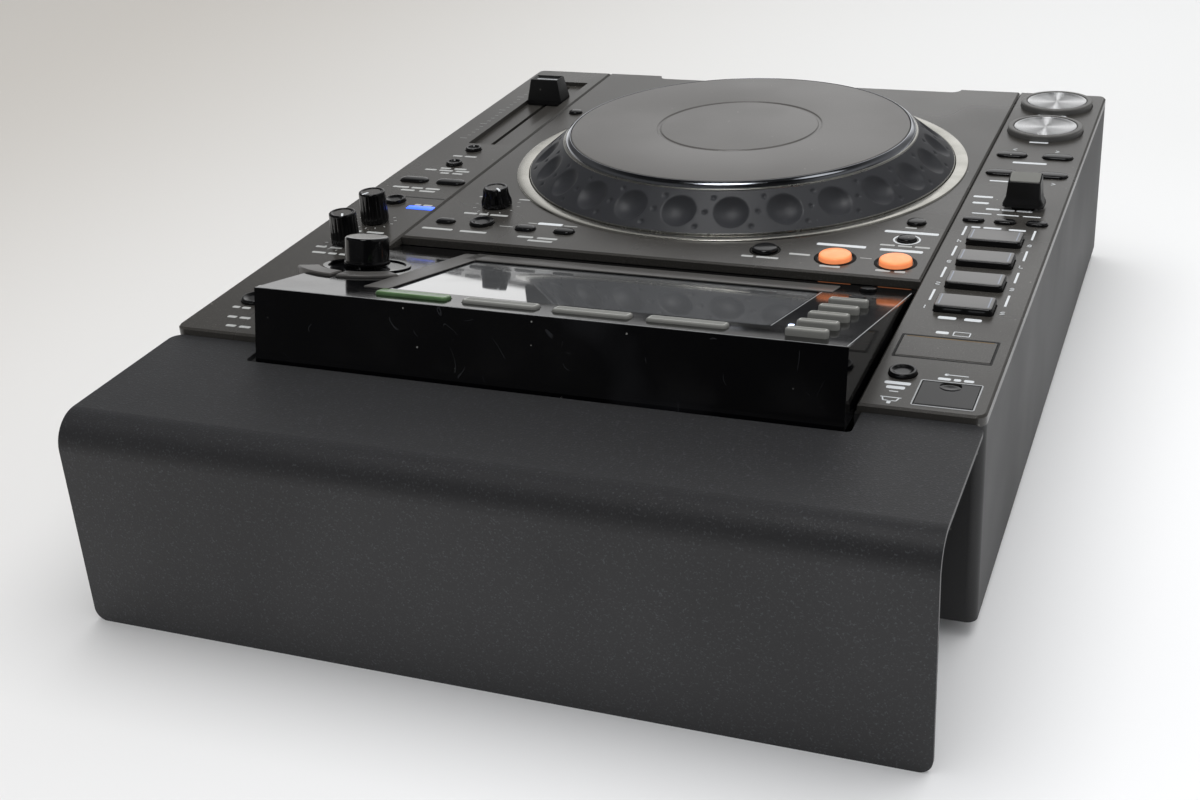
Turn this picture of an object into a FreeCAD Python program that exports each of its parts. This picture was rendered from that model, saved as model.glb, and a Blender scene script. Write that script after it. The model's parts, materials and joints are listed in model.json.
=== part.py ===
import FreeCAD, Part
import math
import os
from collections import namedtuple

# Slot-loading disc deck for a DJ, with the bent sheet cover over its rear sockets.
# Millimetres, +Z up. The origin is on the table under the middle of the footprint,
# +X is the player's right hand and -Y is the side that the player stands at.
# Places on the deck are given from its edges: "back" is the distance forward of the
# rear edge, "front" the distance behind the front edge, "seam" the distance from the
# joint between the centre panel and a column, and "off" is from a column's centre line.

Vec = FreeCAD.Vector
TINY = 1e-4

# Clearances
GAP = 0.3               # a moving key, door or stem in its hole
SHAFT_GAP = 0.06        # a shaft in its bearing
PANEL_JOINT = 0.4       # seam between neighbouring panels
HOUSING_GAP = 1.0       # display housing to the columns beside it

# Display housing, along and across its tilted top
MENU_STRIP = 23.3       # rear edge to the glass, holds the menu keys
GLASS_DEPTH = 75.1
CHIN_STRIP = 24.1       # glass to the front edge
SOURCE_STRIP = 34.0     # left edge to the glass, holds the source keys
GLASS_WIDTH = 150.0
SELECTOR_STRIP = 46.0   # glass to the right edge, holds the selector
DISPLAY_TILT = 13.3     # degrees, down towards the player
DISPLAY_OVERHANG = 6.7  # rear top edge behind the deck's rear edge
DISPLAY_RISE = 23.9     # rear top edge above the panel tops
DISPLAY_WALL = 7.0
GLASS_THICKNESS = 1.6
GLASS_RECESS = 0.5

# Deck
COLUMN_WIDTH = 44.0
DECK_HEIGHT = 88.3      # panel tops above the table
PANEL_THICKNESS = 4.0
CORNER_RADIUS = 4.0
EDGE_BEVEL = 0.8
CASE_WALL = 2.5
FOOT_HEIGHT = 6.0
FOOT_DIAMETER = 26.0
FOOT_INSET = 32.0
RIB_THICKNESS = 4.0
JOG_SIDE_MARGIN = 7.5   # seams to the jog ring, on average
JOG_X = -2.5            # jog axis, a little left of the middle
KEY_ROW_DEPTH = 20.5    # centre panel's rear edge to the jog ring
FRONT_MARGIN = 29.0     # jog ring to the front edge

# Jog wheel
RING_WIDTH = 6.0
RING_HEIGHT = 0.9
DIAL_GAP = 0.5          # dial to the inside of the ring
DIAL_SKIRT = 1.0        # straight foot of the dial above the panel
DIAL_CONE_WIDTH = 17.2
DIAL_CONE_HEIGHT = 13.8
DIAL_WALL = 6.2
BEZEL_WIDTH = 3.8       # bright ring between the cone and the top plate
BEZEL_HEIGHT = 3.1
DIMPLE_COUNT = 25
DIMPLE_DIAMETER = 15.6
DIMPLE_DEPTH = 2.2
TOP_PLATE_THICKNESS = 2.5
TOP_PLATE_TRAVEL = 0.5
PLATE_GROOVE_RADIUS = 39.0
PLATE_GROOVE_WIDTH = 0.8
PLATE_GROOVE_DEPTH = 0.3
DISH_DEPTH = 9.0
DISH_WALL = 2.4
JOG_SHAFT_DIAMETER = 12.0
JOG_BOSS_DIAMETER = 24.0
JOG_BOSS_HEIGHT = 15.0

# Keys and knobs
CUE_FRONT = 64.5
CUE_DIAMETER = 36.0
PLAY_FRONT = 21.2
PLAY_DIAMETER = 35.5
DISH_INSET = 1.6        # flat rim of the cue and play keys
KEY_DISH_DEPTH = 0.8
SEARCH_FRONT = 131.7
SEARCH_SPREAD = 11.4    # of a pair of keys, each way from their middle
TRACK_FRONT = 105.0
TRACK_SPREAD = 10.6
SKIP_KEY_WIDTH = 14.0
SKIP_KEY_DEPTH = 7.6
PAD_WIDTH = 22.5
PAD_DEPTH = 12.5
PAD_BACK = 89.2
PAD_PITCH = 23.8
KEY_LUG = 0.6           # reach of the lugs that keep a key in, under the panel
LUG_WIDTH = 3.0
LUG_THICKNESS = 1.2
KEY_POCKET = 4.2        # blind pocket for a key in the display housing
KNOB_SHAFT_DIAMETER = 6.0
KNOB_DROP = 5.0         # knob shaft below the panel
KNOB_LIFT = 0.5         # underside of a knob or slider cap above its panel
SELECTOR_BACK = 63.8
SELECTOR_EDGE = 13.6    # selector axis to the right edge of the housing
SELECTOR_DIAMETER = 18.8
SELECTOR_HEIGHT = 12.4
SELECTOR_RING_DIAMETER = 36.0
SELECTOR_RING_WIDTH = 2.0
SELECTOR_RING_HEIGHT = 0.6
ARC_KEY_DEPTH = 9.0
ARC_KEY_GAP = 1.2
ARC_KEY_SWEEP = 52.0
ARC_KEY_RISE = 1.1

# Tempo slider
SLIDER_OFF = -5.3
SLIDER_FRONT = 79.0     # middle of the slot
SLIDER_TRAVEL = 100.0
SLIDER_REST = 75.0      # rest place, from the rear end of the travel
SLIDER_STEM_WIDTH = 1.6
SLIDER_STEM_LENGTH = 8.0
SLIDER_CAP_WIDTH = 20.0
SLIDER_CAP_LENGTH = 14.0
SLIDER_CAP_HEIGHT = 12.0
CHANNEL_GAP = 0.7       # cap to the sides of its shallow channel
CHANNEL_DEPTH = 2.2

# Direction lever
LEVER_OFF = -5.0
LEVER_BACK = 204.0
LEVER_TILT = 10.0       # degrees each way
LEVER_PIVOT_DROP = 7.5  # pivot below the panel top
LEVER_STEM_WIDTH = 9.0
LEVER_STEM_LENGTH = 4.0
LEVER_WIDTH = 16.0
LEVER_LENGTH = 9.0
LEVER_LIFT = 1.5
LEVER_HEIGHT = 15.0

# Doors and their wells
DOOR_THICKNESS = 2.0
WELL_WALL = 1.2
WELL_LEDGE = 1.5        # rim that a closed door rests over
USB_DOOR = dict(off=-6.6, back=13.5, width=19.9, depth=18.6, well=12.0, grip=8.0)
CARD_DOOR = dict(off=0.6, back=50.6, width=34.0, depth=18.2, well=9.0, grip=0)
USB_TONGUE = (11.0, 2.0, 9.0)

# Disc slot and drive
SLOT_WIDTH = 126.0
SLOT_HEIGHT = 5.2
SLOT_LEVEL = 46.0       # middle of the slot above the table
SCALLOP_WIDTH = 170.0   # set-back of the front around the slot
SCALLOP_DEPTH = 6.0
SCALLOP_DROP = 12.0     # its lower edge under the slot
DRIVE_WIDTH = 146.0
DRIVE_DEPTH = 150.0
DRIVE_BELOW = 14.0
DRIVE_ABOVE = 10.0
DRIVE_POST_DIAMETER = 9.0

# Rear sockets
SOCKET_PLATE_WIDTH = 290.0
SOCKET_PLATE_HEIGHT = 46.0
SOCKET_PLATE_LEVEL = 40.0
SOCKET_PLATE_THICKNESS = 1.6
SOCKET_PLATE_LAP = 4.0
INLET = dict(x=-112.0, width=27.0, height=20.0, depth=15.0)
NETWORK = dict(x=-40.0, width=14.0, height=12.0, depth=14.0)
USB_B = dict(x=-8.0, width=9.0, height=8.0, depth=12.0)
SOCKET_WALL = 1.6
PHONO_XS = (40.0, 60.0, 92.0)
PHONO_DIAMETER = 8.4
PHONO_LENGTH = 9.0
POWER_SWITCH_X = -76.0
POWER_SWITCH_SIZE = 14.0

# Rear cable cover
COVER_DEPTH = 79.0
COVER_STEP = 3.0        # its top under the panel tops
COVER_SHEET = 2.0
COVER_BEND = 12.5       # outer radius
COVER_CORNER = 5.0
COVER_NOTCH_GAP = 3.0   # around the display housing

# Worked out from the sizes above
CENTRE_WIDTH = SOURCE_STRIP + GLASS_WIDTH + SELECTOR_STRIP + 2 * HOUSING_GAP
HOUSING_HALF = CENTRE_WIDTH / 2 - HOUSING_GAP
DISPLAY_LENGTH = MENU_STRIP + GLASS_DEPTH + CHIN_STRIP
TILT = math.radians(DISPLAY_TILT)
DISPLAY_DEPTH = DISPLAY_LENGTH * math.cos(TILT) - DISPLAY_OVERHANG
RING_RADIUS = CENTRE_WIDTH / 2 - JOG_SIDE_MARGIN
DECK_WIDTH = CENTRE_WIDTH + 2 * COLUMN_WIDTH
DECK_DEPTH = DISPLAY_DEPTH + KEY_ROW_DEPTH + 2 * RING_RADIUS + FRONT_MARGIN
REAR_Y = (DECK_DEPTH - COVER_DEPTH) / 2
FRONT_Y = REAR_Y - DECK_DEPTH
PANEL_UNDER = DECK_HEIGHT - PANEL_THICKNESS
FLOOR_TOP = FOOT_HEIGHT + CASE_WALL
CENTRE_REAR_Y = REAR_Y - DISPLAY_DEPTH
JOG_Y = FRONT_Y + FRONT_MARGIN + RING_RADIUS
COLUMN_X = DECK_WIDTH / 2 - COLUMN_WIDTH / 2
RING_INNER = RING_RADIUS - RING_WIDTH
DIAL_RADIUS = RING_INNER - DIAL_GAP
CONE_TOP_RADIUS = DIAL_RADIUS - DIAL_CONE_WIDTH
CONE_BOTTOM = DECK_HEIGHT + DIAL_SKIRT
CONE_TOP = CONE_BOTTOM + DIAL_CONE_HEIGHT
BEZEL_TOP = CONE_TOP + BEZEL_HEIGHT
PLATE_RADIUS = CONE_TOP_RADIUS - BEZEL_WIDTH
PLATE_UNDER = BEZEL_TOP - TOP_PLATE_THICKNESS
DISH_FLOOR = DECK_HEIGHT - DISH_DEPTH
DISH_RADIUS = RING_INNER + RING_WIDTH / 4
SLIDER_X = COLUMN_X + SLIDER_OFF
SLIDER_Y = FRONT_Y + SLIDER_FRONT + SLIDER_TRAVEL / 2 - SLIDER_REST
LEVER_X = -COLUMN_X + LEVER_OFF
LEVER_Y = REAR_Y - LEVER_BACK
LEVER_PIVOT_Z = DECK_HEIGHT - LEVER_PIVOT_DROP
SELECTOR_X = HOUSING_HALF - SELECTOR_EDGE
HOUSING_FLOOR = DECK_HEIGHT - 17.0
DRIVE_FRONT = FRONT_Y + SCALLOP_DEPTH + CASE_WALL + GAP
DISPLAY_TOP = DECK_HEIGHT + DISPLAY_RISE
COVER_TOP = DECK_HEIGHT - COVER_STEP

# A push key: its middle, plan size, corner radius, height over the panel, bevel, travel
Key = namedtuple("Key", "x y width depth radius rise bevel travel")


def round_key(x, y, diameter, rise=1.6, bevel=0.5, travel=0.8):
    return Key(x, y, diameter, diameter, diameter / 2, rise, bevel, travel)


def oval_key(x, y, width, depth, rise=1.4, bevel=0.5, travel=0.8):
    return Key(x, y, width, depth, depth / 2, rise, bevel, travel)


def left_keys():
    """Keys of the left column"""
    x = -COLUMN_X
    keys = {"usb_stop_button": round_key(x + 11.5, REAR_Y - 27.0, 10.0)}
    for i in range(4):
        y = REAR_Y - PAD_BACK - PAD_PITCH * i
        keys["hot_cue_pad_%d" % (i + 1)] = Key(x + 0.6, y, PAD_WIDTH, PAD_DEPTH, 1.6, 3.0, 1.2, 1.0)
    rows = (("search", SEARCH_FRONT, SEARCH_SPREAD), ("track", TRACK_FRONT, TRACK_SPREAD))
    for name, front, spread in rows:
        for way, side in (("back", -1), ("forward", 1)):
            keys["%s_%s_button" % (name, way)] = oval_key(x + side * spread, FRONT_Y + front,
                                                          SKIP_KEY_WIDTH, SKIP_KEY_DEPTH)
    keys["cue_button"] = round_key(x + 0.6, FRONT_Y + CUE_FRONT, CUE_DIAMETER, 3.0, 0.9, 1.2)
    keys["play_button"] = round_key(x + 0.6, FRONT_Y + PLAY_FRONT, PLAY_DIAMETER, 3.0, 0.9, 1.2)
    return keys


def right_keys():
    """Keys of the right column"""
    x = COLUMN_X
    return {
        "eject_button": round_key(x + 4.0, REAR_Y - 32.0, 11.5),
        "jog_mode_button": round_key(x + 2.2, REAR_Y - 153.8, 10.0),
        "sync_button": oval_key(x + 6.6, REAR_Y - 183.0, 14.5, 7.0),
        "master_button": oval_key(x - 12.8, REAR_Y - 183.0, 14.5, 7.0),
        "tempo_range_button": round_key(x - 2.3, REAR_Y - 209.3, 8.0),
        "master_tempo_button": round_key(x - 2.3, REAR_Y - 232.3, 8.0),
    }


def centre_keys():
    """Keys of the centre panel, around the jog wheel"""
    seam = CENTRE_WIDTH / 2
    y = CENTRE_REAR_Y
    return {
        "loop_in_button": round_key(-seam + 13.5, y - 15.7, 13.6, 2.4),
        "loop_out_button": round_key(-seam + 38.7, y - 15.7, 13.6, 2.4),
        "reloop_button": round_key(-seam + 69.4, y - 18.1, 11.0, 1.8, 0.8),
        "memory_button": round_key(seam - 29.5, y - 22.2, 11.0),
        "delete_button": oval_key(seam - 12.1, y - 20.8, 9.0, 5.6),
        "tempo_reset_button": round_key(seam - 8.6, FRONT_Y + SLIDER_FRONT - 2.0, 7.0),
    }


def key_carriers():
    """Two or three like keys moulded on one carrier: the loop cut, call and bank keys"""
    seam = CENTRE_WIDTH / 2
    y = CENTRE_REAR_Y
    cut = [round_key(-seam + 14.3, y - back, 8.0) for back in (42.3, 62.7)]
    call = [oval_key(seam - edge, y - 19.8, 9.5, 6.4) for edge in (51.8, 70.4)]
    bank = [oval_key(-COLUMN_X + 13.4 * i, REAR_Y - 183.6, 9.0, 5.4) for i in (-1, 0, 1)]
    return {"loop_cut_keys": cut, "call_keys": call, "bank_keys": bank}


def display_keys():
    """Keys on the tilted display housing, in its own plane: x across, y up the slope"""
    left = -HOUSING_HALF
    keys = {}
    for i in range(4):
        x = left + 60.8 + 36.0 * i
        keys["menu_button_%d" % (i + 1)] = Key(x, -12.6, 29.6, 7.0, 1.6, 1.3, 0.5, 0.8)
    for i in range(5):
        y = -12.2 - 15.75 * i
        keys["source_button_%d" % (i + 1)] = Key(left + 17.5, y, 15.0, 5.6, 1.4, 2.6, 1.0, 0.8)
    return keys


def side_keys():
    """The pair of small round keys under the source keys"""
    x = -HOUSING_HALF + 17.5
    return [round_key(x, -90.4, 6.5, 1.4, 0.4), round_key(x, -109.6, 6.5, 1.4, 0.4)]


def box(x0, x1, y0, y1, z0, z1):
    return Part.makeBox(x1 - x0, y1 - y0, z1 - z0, Vec(x0, y0, z0))


def rod(x, y, z0, z1, radius):
    return Part.makeCylinder(radius, z1 - z0, Vec(x, y, z0))


def bar(x0, x1, y, z, radius):
    """Round bar along X"""
    return Part.makeCylinder(radius, x1 - x0, Vec(x0, y, z), Vec(1, 0, 0))


def outline(width, depth, radius):
    """Closed wire about the origin: a rectangle with rounded corners"""
    r = min(radius, width / 2, depth / 2)
    a, b = width / 2 - r, depth / 2 - r
    arcs = []
    for x, y, start in ((a, b, 0), (-a, b, 90), (-a, -b, 180), (a, -b, 270)):
        turn = [math.radians(start + step) for step in (0, 45, 90)]
        arcs.append([Vec(x + r * math.cos(t), y + r * math.sin(t), 0) for t in turn])
    edges = [Part.Arc(*points).toShape() for points in arcs]
    for this, following in zip(arcs, arcs[1:] + arcs[:1]):
        if this[2].distanceToPoint(following[0]) > TINY:
            edges.append(Part.makeLine(this[2], following[0]))
    return Part.Wire(Part.__sortEdges__(edges))


def prism(width, depth, radius, z0, z1, x=0.0, y=0.0):
    """Upright prism on a rounded rectangle"""
    solid = Part.Face(outline(width, depth, radius)).extrude(Vec(0, 0, z1 - z0))
    return solid.translated(Vec(x, y, z0))


def turned(profile, x=0.0, y=0.0):
    """Solid turned about a vertical axis from a closed profile of (radius, z) points"""
    points = [Vec(r, 0, z) for r, z in profile]
    face = Part.Face(Part.makePolygon(points + points[:1]))
    return face.revolve(Vec(0, 0, 0), Vec(0, 0, 1), 360).translated(Vec(x, y, 0))


def side_extrusion(profile, x0, x1):
    """Solid along X from a closed profile of (y, z) points"""
    points = [Vec(x0, y, z) for y, z in profile]
    return Part.Face(Part.makePolygon(points + points[:1])).extrude(Vec(x1 - x0, 0, 0))


def bevel_top(solid, size):
    """Chamfer the rim of the solid's top face"""
    top = solid.BoundBox.ZMax
    rim = [e for e in solid.Edges if all(abs(v.Point.z - top) < TINY for v in e.Vertexes)]
    return solid.makeChamfer(size, rim)


def hole(key, z0, z1):
    """Clearance hole for a key"""
    extra = 2 * GAP
    return prism(key.width + extra, key.depth + extra, key.radius + GAP, z0, z1, key.x, key.y)


def panel_key(key):
    """Key that comes up through a panel, kept in by a lug at each side under it"""
    foot = PANEL_UNDER - GAP - LUG_THICKNESS
    cap = prism(key.width, key.depth, key.radius, foot, DECK_HEIGHT + key.rise, key.x, key.y)
    reach = key.width / 2 + GAP + KEY_LUG
    lugs = box(key.x - reach, key.x + reach, key.y - LUG_WIDTH / 2, key.y + LUG_WIDTH / 2,
               foot, foot + LUG_THICKNESS)
    return bevel_top(cap, key.bevel).fuse(lugs).removeSplitter()


def carried_keys(keys):
    """Keys joined by one bridge under the panel"""
    solid = panel_key(keys[0])
    for key in keys[1:]:
        solid = solid.fuse(panel_key(key))
    foot = PANEL_UNDER - GAP - LUG_THICKNESS
    first, last = keys[0], keys[-1]
    half = LUG_WIDTH / 2
    bridge = box(min(first.x, last.x) - half, max(first.x, last.x) + half,
                 min(first.y, last.y) - half, max(first.y, last.y) + half, foot, foot + LUG_THICKNESS)
    return solid.fuse(bridge).removeSplitter()


def dished_key(key):
    """Large round key with a shallow dish in its top"""
    rim = key.width / 2 - key.bevel - DISH_INSET
    floor = Vec(key.x, key.y, DECK_HEIGHT + key.rise - KEY_DISH_DEPTH)
    return panel_key(key).cut(Part.makeCone(rim * 0.5, rim, KEY_DISH_DEPTH, floor))


def knob_body(diameter, height, flutes, flute_depth):
    """Tapered knob about the Z axis, standing on z = 0, with V flutes and a pointer groove"""
    r = diameter / 2
    body = turned([(0, 0), (r, 0), (r, 2.0), (r * 0.92, height - 0.8), (r * 0.8, height), (0, height)])
    wide = flute_depth + 1
    corners = [Vec(r + 1, -wide, 2.0), Vec(r - flute_depth, 0, 2.0), Vec(r + 1, wide, 2.0)]
    flute = Part.Face(Part.makePolygon(corners + corners[:1])).extrude(Vec(0, 0, height))
    for i in range(flutes):
        cutter = flute.copy()
        cutter.rotate(Vec(0, 0, 0), Vec(0, 0, 1), 360 * (i + 0.5) / flutes)
        body = body.cut(cutter)
    return body.cut(box(-0.5, 0.5, r * 0.2, r + 1, height - 0.5, height + 1))


def panel_knob(x, y, diameter, height, flutes, flute_depth):
    """Knob on a shaft that turns in the panel"""
    knob = knob_body(diameter, height, flutes, flute_depth)
    knob.translate(Vec(x, y, DECK_HEIGHT + KNOB_LIFT))
    shaft = rod(x, y, PANEL_UNDER - KNOB_DROP, DECK_HEIGHT + KNOB_LIFT + 2.0, KNOB_SHAFT_DIAMETER / 2)
    return knob.fuse(shaft).removeSplitter()


def panel_knobs():
    """The places and sizes of the three knobs that turn in the panels"""
    seam = CENTRE_WIDTH / 2
    return {
        "touch_speed_knob": (COLUMN_X - 1.5, REAR_Y - 99.1, 13.0, 14.0, 12, 0.7),
        "release_speed_knob": (COLUMN_X - 1.5, REAR_Y - 126.7, 13.0, 14.0, 12, 0.7),
        "jog_adjust_knob": (seam - 26.5, CENTRE_REAR_Y - 45.5, 14.4, 8.6, 10, 1.5),
    }


def door(spec, side_x):
    """Flat lid with a rounded hinge edge at its rear and, if it has one, a finger dimple at its front"""
    x, y = side_x + spec["off"], REAR_Y - spec["back"]
    half, depth, barrel = spec["width"] / 2, spec["depth"], DOOR_THICKNESS / 2
    rear = y + depth / 2
    lid = box(x - half, x + half, y - depth / 2, rear - barrel, DECK_HEIGHT - DOOR_THICKNESS, DECK_HEIGHT)
    lid = lid.fuse(bar(x - half, x + half, rear - barrel, DECK_HEIGHT - barrel, barrel)).removeSplitter()
    if not spec["grip"]:
        return lid
    dimple = Part.makeCone(0.4 * spec["grip"], 0.5 * spec["grip"], 1.2,
                           Vec(x, y - depth / 2 + 0.3 * spec["grip"], DECK_HEIGHT - 1.0))
    return lid.cut(dimple)


def well_outer(spec, side_x):
    """Block under the panel that holds a socket under a door"""
    x, y = side_x + spec["off"], REAR_Y - spec["back"]
    grow = GAP + WELL_WALL
    return box(x - spec["width"] / 2 - grow, x + spec["width"] / 2 + grow,
               y - spec["depth"] / 2 - grow, y + spec["depth"] / 2 + grow,
               DECK_HEIGHT - spec["well"] - WELL_WALL, DECK_HEIGHT)


def well_space(spec, side_x):
    """Door recess and the narrower socket well under it"""
    x, y = side_x + spec["off"], REAR_Y - spec["back"]
    wide, deep = spec["width"] / 2 + GAP, spec["depth"] / 2 + GAP
    recess = box(x - wide, x + wide, y - deep, y + deep,
                 DECK_HEIGHT - DOOR_THICKNESS - GAP, DECK_HEIGHT + 1)
    wide, deep = wide - WELL_LEDGE, deep - WELL_LEDGE
    well = box(x - wide, x + wide, y - deep, y + deep, DECK_HEIGHT - spec["well"], DECK_HEIGHT)
    return recess.fuse(well)


def deck_slab(z0, z1, inset=0.0):
    """Block with the deck's rounded plan"""
    return prism(DECK_WIDTH - 2 * inset, DECK_DEPTH - 2 * inset, CORNER_RADIUS - inset,
                 z0, z1, 0, (REAR_Y + FRONT_Y) / 2)


def scallop(z0, z1, grow=0.0):
    """Set-back in the middle of the front, where a disc is pushed in"""
    depth = 2 * (SCALLOP_DEPTH + grow)
    return prism(SCALLOP_WIDTH + 2 * grow, depth, SCALLOP_DEPTH + grow - 1.0, z0, z1, 0, FRONT_Y)


def column_panel(side, keys):
    """Top panel of one column, with the holes for its keys"""
    inner = CENTRE_WIDTH / 2 + PANEL_JOINT / 2
    x0, x1 = sorted((side * inner, side * DECK_WIDTH))
    slab = deck_slab(PANEL_UNDER, DECK_HEIGHT)
    panel = slab.common(box(x0, x1, FRONT_Y - 1, REAR_Y + 1, PANEL_UNDER, DECK_HEIGHT))
    panel = bevel_top(panel, EDGE_BEVEL)
    for key in keys:
        panel = panel.cut(hole(key, PANEL_UNDER - 1, DECK_HEIGHT + 1))
    return panel


def left_column_panel():
    panel = column_panel(-1, list(left_keys().values()) + key_carriers()["bank_keys"])
    for spec in (USB_DOOR, CARD_DOOR):
        panel = panel.fuse(well_outer(spec, -COLUMN_X)).cut(well_space(spec, -COLUMN_X))
    panel = panel.fuse(usb_tongue())
    return panel.cut(lever_slot()).removeSplitter()


def usb_tongue():
    """Contact tongue that stands in the USB well"""
    width, depth, height = USB_TONGUE
    x, y = -COLUMN_X + USB_DOOR["off"], REAR_Y - USB_DOOR["back"]
    z = DECK_HEIGHT - USB_DOOR["well"] - WELL_WALL / 2
    return box(x - width / 2, x + width / 2, y - depth / 2, y + depth / 2, z, z + height)


def lever_slot():
    """Slot that lets the lever's stem tilt both ways"""
    sway = LEVER_PIVOT_DROP * math.sin(math.radians(LEVER_TILT))
    length = LEVER_STEM_LENGTH + 2 * (sway + GAP)
    width = LEVER_STEM_WIDTH + 2 * GAP
    return prism(width, length, 1.0, PANEL_UNDER - 1, DECK_HEIGHT + 1, LEVER_X, LEVER_Y)


def right_column_panel():
    panel = column_panel(1, right_keys().values())
    for name in ("touch_speed_knob", "release_speed_knob"):
        panel = panel.cut(shaft_hole(*panel_knobs()[name][:2]))
    width = SLIDER_STEM_WIDTH + 2 * GAP
    length = SLIDER_TRAVEL + SLIDER_STEM_LENGTH + 4 * GAP
    y = FRONT_Y + SLIDER_FRONT
    slot = prism(width, length, width / 2, PANEL_UNDER - 1, DECK_HEIGHT + 1, SLIDER_X, y)
    channel = prism(SLIDER_CAP_WIDTH + 2 * CHANNEL_GAP,
                    SLIDER_TRAVEL + SLIDER_CAP_LENGTH + 2 * CHANNEL_GAP,
                    1.0, DECK_HEIGHT - CHANNEL_DEPTH, DECK_HEIGHT + 1, SLIDER_X, y)
    return panel.cut(slot).cut(channel).removeSplitter()


def shaft_hole(x, y):
    return rod(x, y, PANEL_UNDER - 1, DECK_HEIGHT + 1, KNOB_SHAFT_DIAMETER / 2 + SHAFT_GAP)


def centre_panel():
    """Centre panel with the dish and the bearing that carry the jog wheel"""
    half = CENTRE_WIDTH / 2 - PANEL_JOINT / 2
    slab = box(-half, half, FRONT_Y, CENTRE_REAR_Y, PANEL_UNDER, DECK_HEIGHT)
    panel = bevel_top(slab, EDGE_BEVEL)
    panel = panel.cut(scallop(PANEL_UNDER - 1, DECK_HEIGHT + 1))
    outer = DISH_RADIUS + DISH_WALL
    panel = panel.fuse(rod(JOG_X, JOG_Y, DISH_FLOOR - DISH_WALL, DECK_HEIGHT - 1, outer))
    panel = panel.cut(rod(JOG_X, JOG_Y, DISH_FLOOR, DECK_HEIGHT + 1, DISH_RADIUS))
    boss = rod(JOG_X, JOG_Y, DISH_FLOOR - DISH_WALL, DISH_FLOOR + JOG_BOSS_HEIGHT, JOG_BOSS_DIAMETER / 2)
    bore = rod(JOG_X, JOG_Y, DISH_FLOOR, DISH_FLOOR + JOG_BOSS_HEIGHT + 1,
               JOG_SHAFT_DIAMETER / 2 + SHAFT_GAP)
    panel = panel.fuse(boss).cut(bore)
    carriers = key_carriers()
    for key in list(centre_keys().values()) + carriers["loop_cut_keys"] + carriers["call_keys"]:
        panel = panel.cut(hole(key, PANEL_UNDER - 1, DECK_HEIGHT + 1))
    return panel.cut(shaft_hole(*panel_knobs()["jog_adjust_knob"][:2])).removeSplitter()


def jog_ring():
    """Pale trim ring around the dial, with a lip into the mouth of the dish"""
    lip = DISH_RADIUS - 0.1
    profile = [(RING_INNER, DECK_HEIGHT - 2.0), (lip, DECK_HEIGHT - 2.0), (lip, DECK_HEIGHT),
               (RING_RADIUS, DECK_HEIGHT), (RING_RADIUS - 0.6, DECK_HEIGHT + RING_HEIGHT),
               (RING_INNER, DECK_HEIGHT + RING_HEIGHT)]
    return turned(profile, JOG_X, JOG_Y)


def jog_dial():
    """Dial: a cone with a ring of spherical finger dimples, over a web, a hub and a shaft"""
    well = PLATE_UNDER - TOP_PLATE_TRAVEL - 0.2
    web = well - 3.0
    skirt = DECK_HEIGHT - 3.0
    boss_top = DISH_FLOOR + JOG_BOSS_HEIGHT
    shaft = JOG_SHAFT_DIAMETER / 2
    profile = [(0, DISH_FLOOR + GAP), (shaft, DISH_FLOOR + GAP), (shaft, boss_top + GAP),
               (shaft + 4.0, boss_top + GAP), (shaft + 4.0, web), (CONE_TOP_RADIUS - DIAL_WALL, web),
               (DIAL_RADIUS - DIAL_WALL, CONE_BOTTOM), (DIAL_RADIUS - DIAL_WALL, skirt),
               (DIAL_RADIUS, skirt), (DIAL_RADIUS, CONE_BOTTOM), (CONE_TOP_RADIUS, CONE_TOP),
               (CONE_TOP_RADIUS - BEZEL_HEIGHT, BEZEL_TOP), (PLATE_RADIUS + GAP, BEZEL_TOP),
               (PLATE_RADIUS + GAP, well), (0, well)]
    dial = turned(profile, JOG_X, JOG_Y)
    return dial.cut(Part.makeCompound(finger_dimples()))


def finger_dimples():
    """Spheres that cut the dimples, centred over the middle of the cone's slope"""
    ball = (DIMPLE_DIAMETER ** 2 / 4 + DIMPLE_DEPTH ** 2) / (2 * DIMPLE_DEPTH)
    slope = math.hypot(DIAL_CONE_WIDTH, DIAL_CONE_HEIGHT)
    out, up = DIAL_CONE_HEIGHT / slope, DIAL_CONE_WIDTH / slope
    lift = ball - DIMPLE_DEPTH
    radius = (DIAL_RADIUS + CONE_TOP_RADIUS) / 2 + out * lift
    z = (CONE_BOTTOM + CONE_TOP) / 2 + up * lift
    turns = [2 * math.pi * (i + 0.25) / DIMPLE_COUNT for i in range(DIMPLE_COUNT)]
    return [Part.makeSphere(ball, Vec(JOG_X + radius * math.cos(t), JOG_Y + radius * math.sin(t), z))
            for t in turns]


def jog_top_plate():
    """Touch plate that presses down a little, with a ring groove"""
    plate = bevel_top(rod(JOG_X, JOG_Y, PLATE_UNDER, BEZEL_TOP, PLATE_RADIUS), 0.4)
    groove = rod(JOG_X, JOG_Y, BEZEL_TOP - PLATE_GROOVE_DEPTH, BEZEL_TOP + 1, PLATE_GROOVE_RADIUS)
    core = rod(JOG_X, JOG_Y, PLATE_UNDER, BEZEL_TOP + 1, PLATE_GROOVE_RADIUS - PLATE_GROOVE_WIDTH)
    return plate.cut(groove.cut(core))


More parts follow.
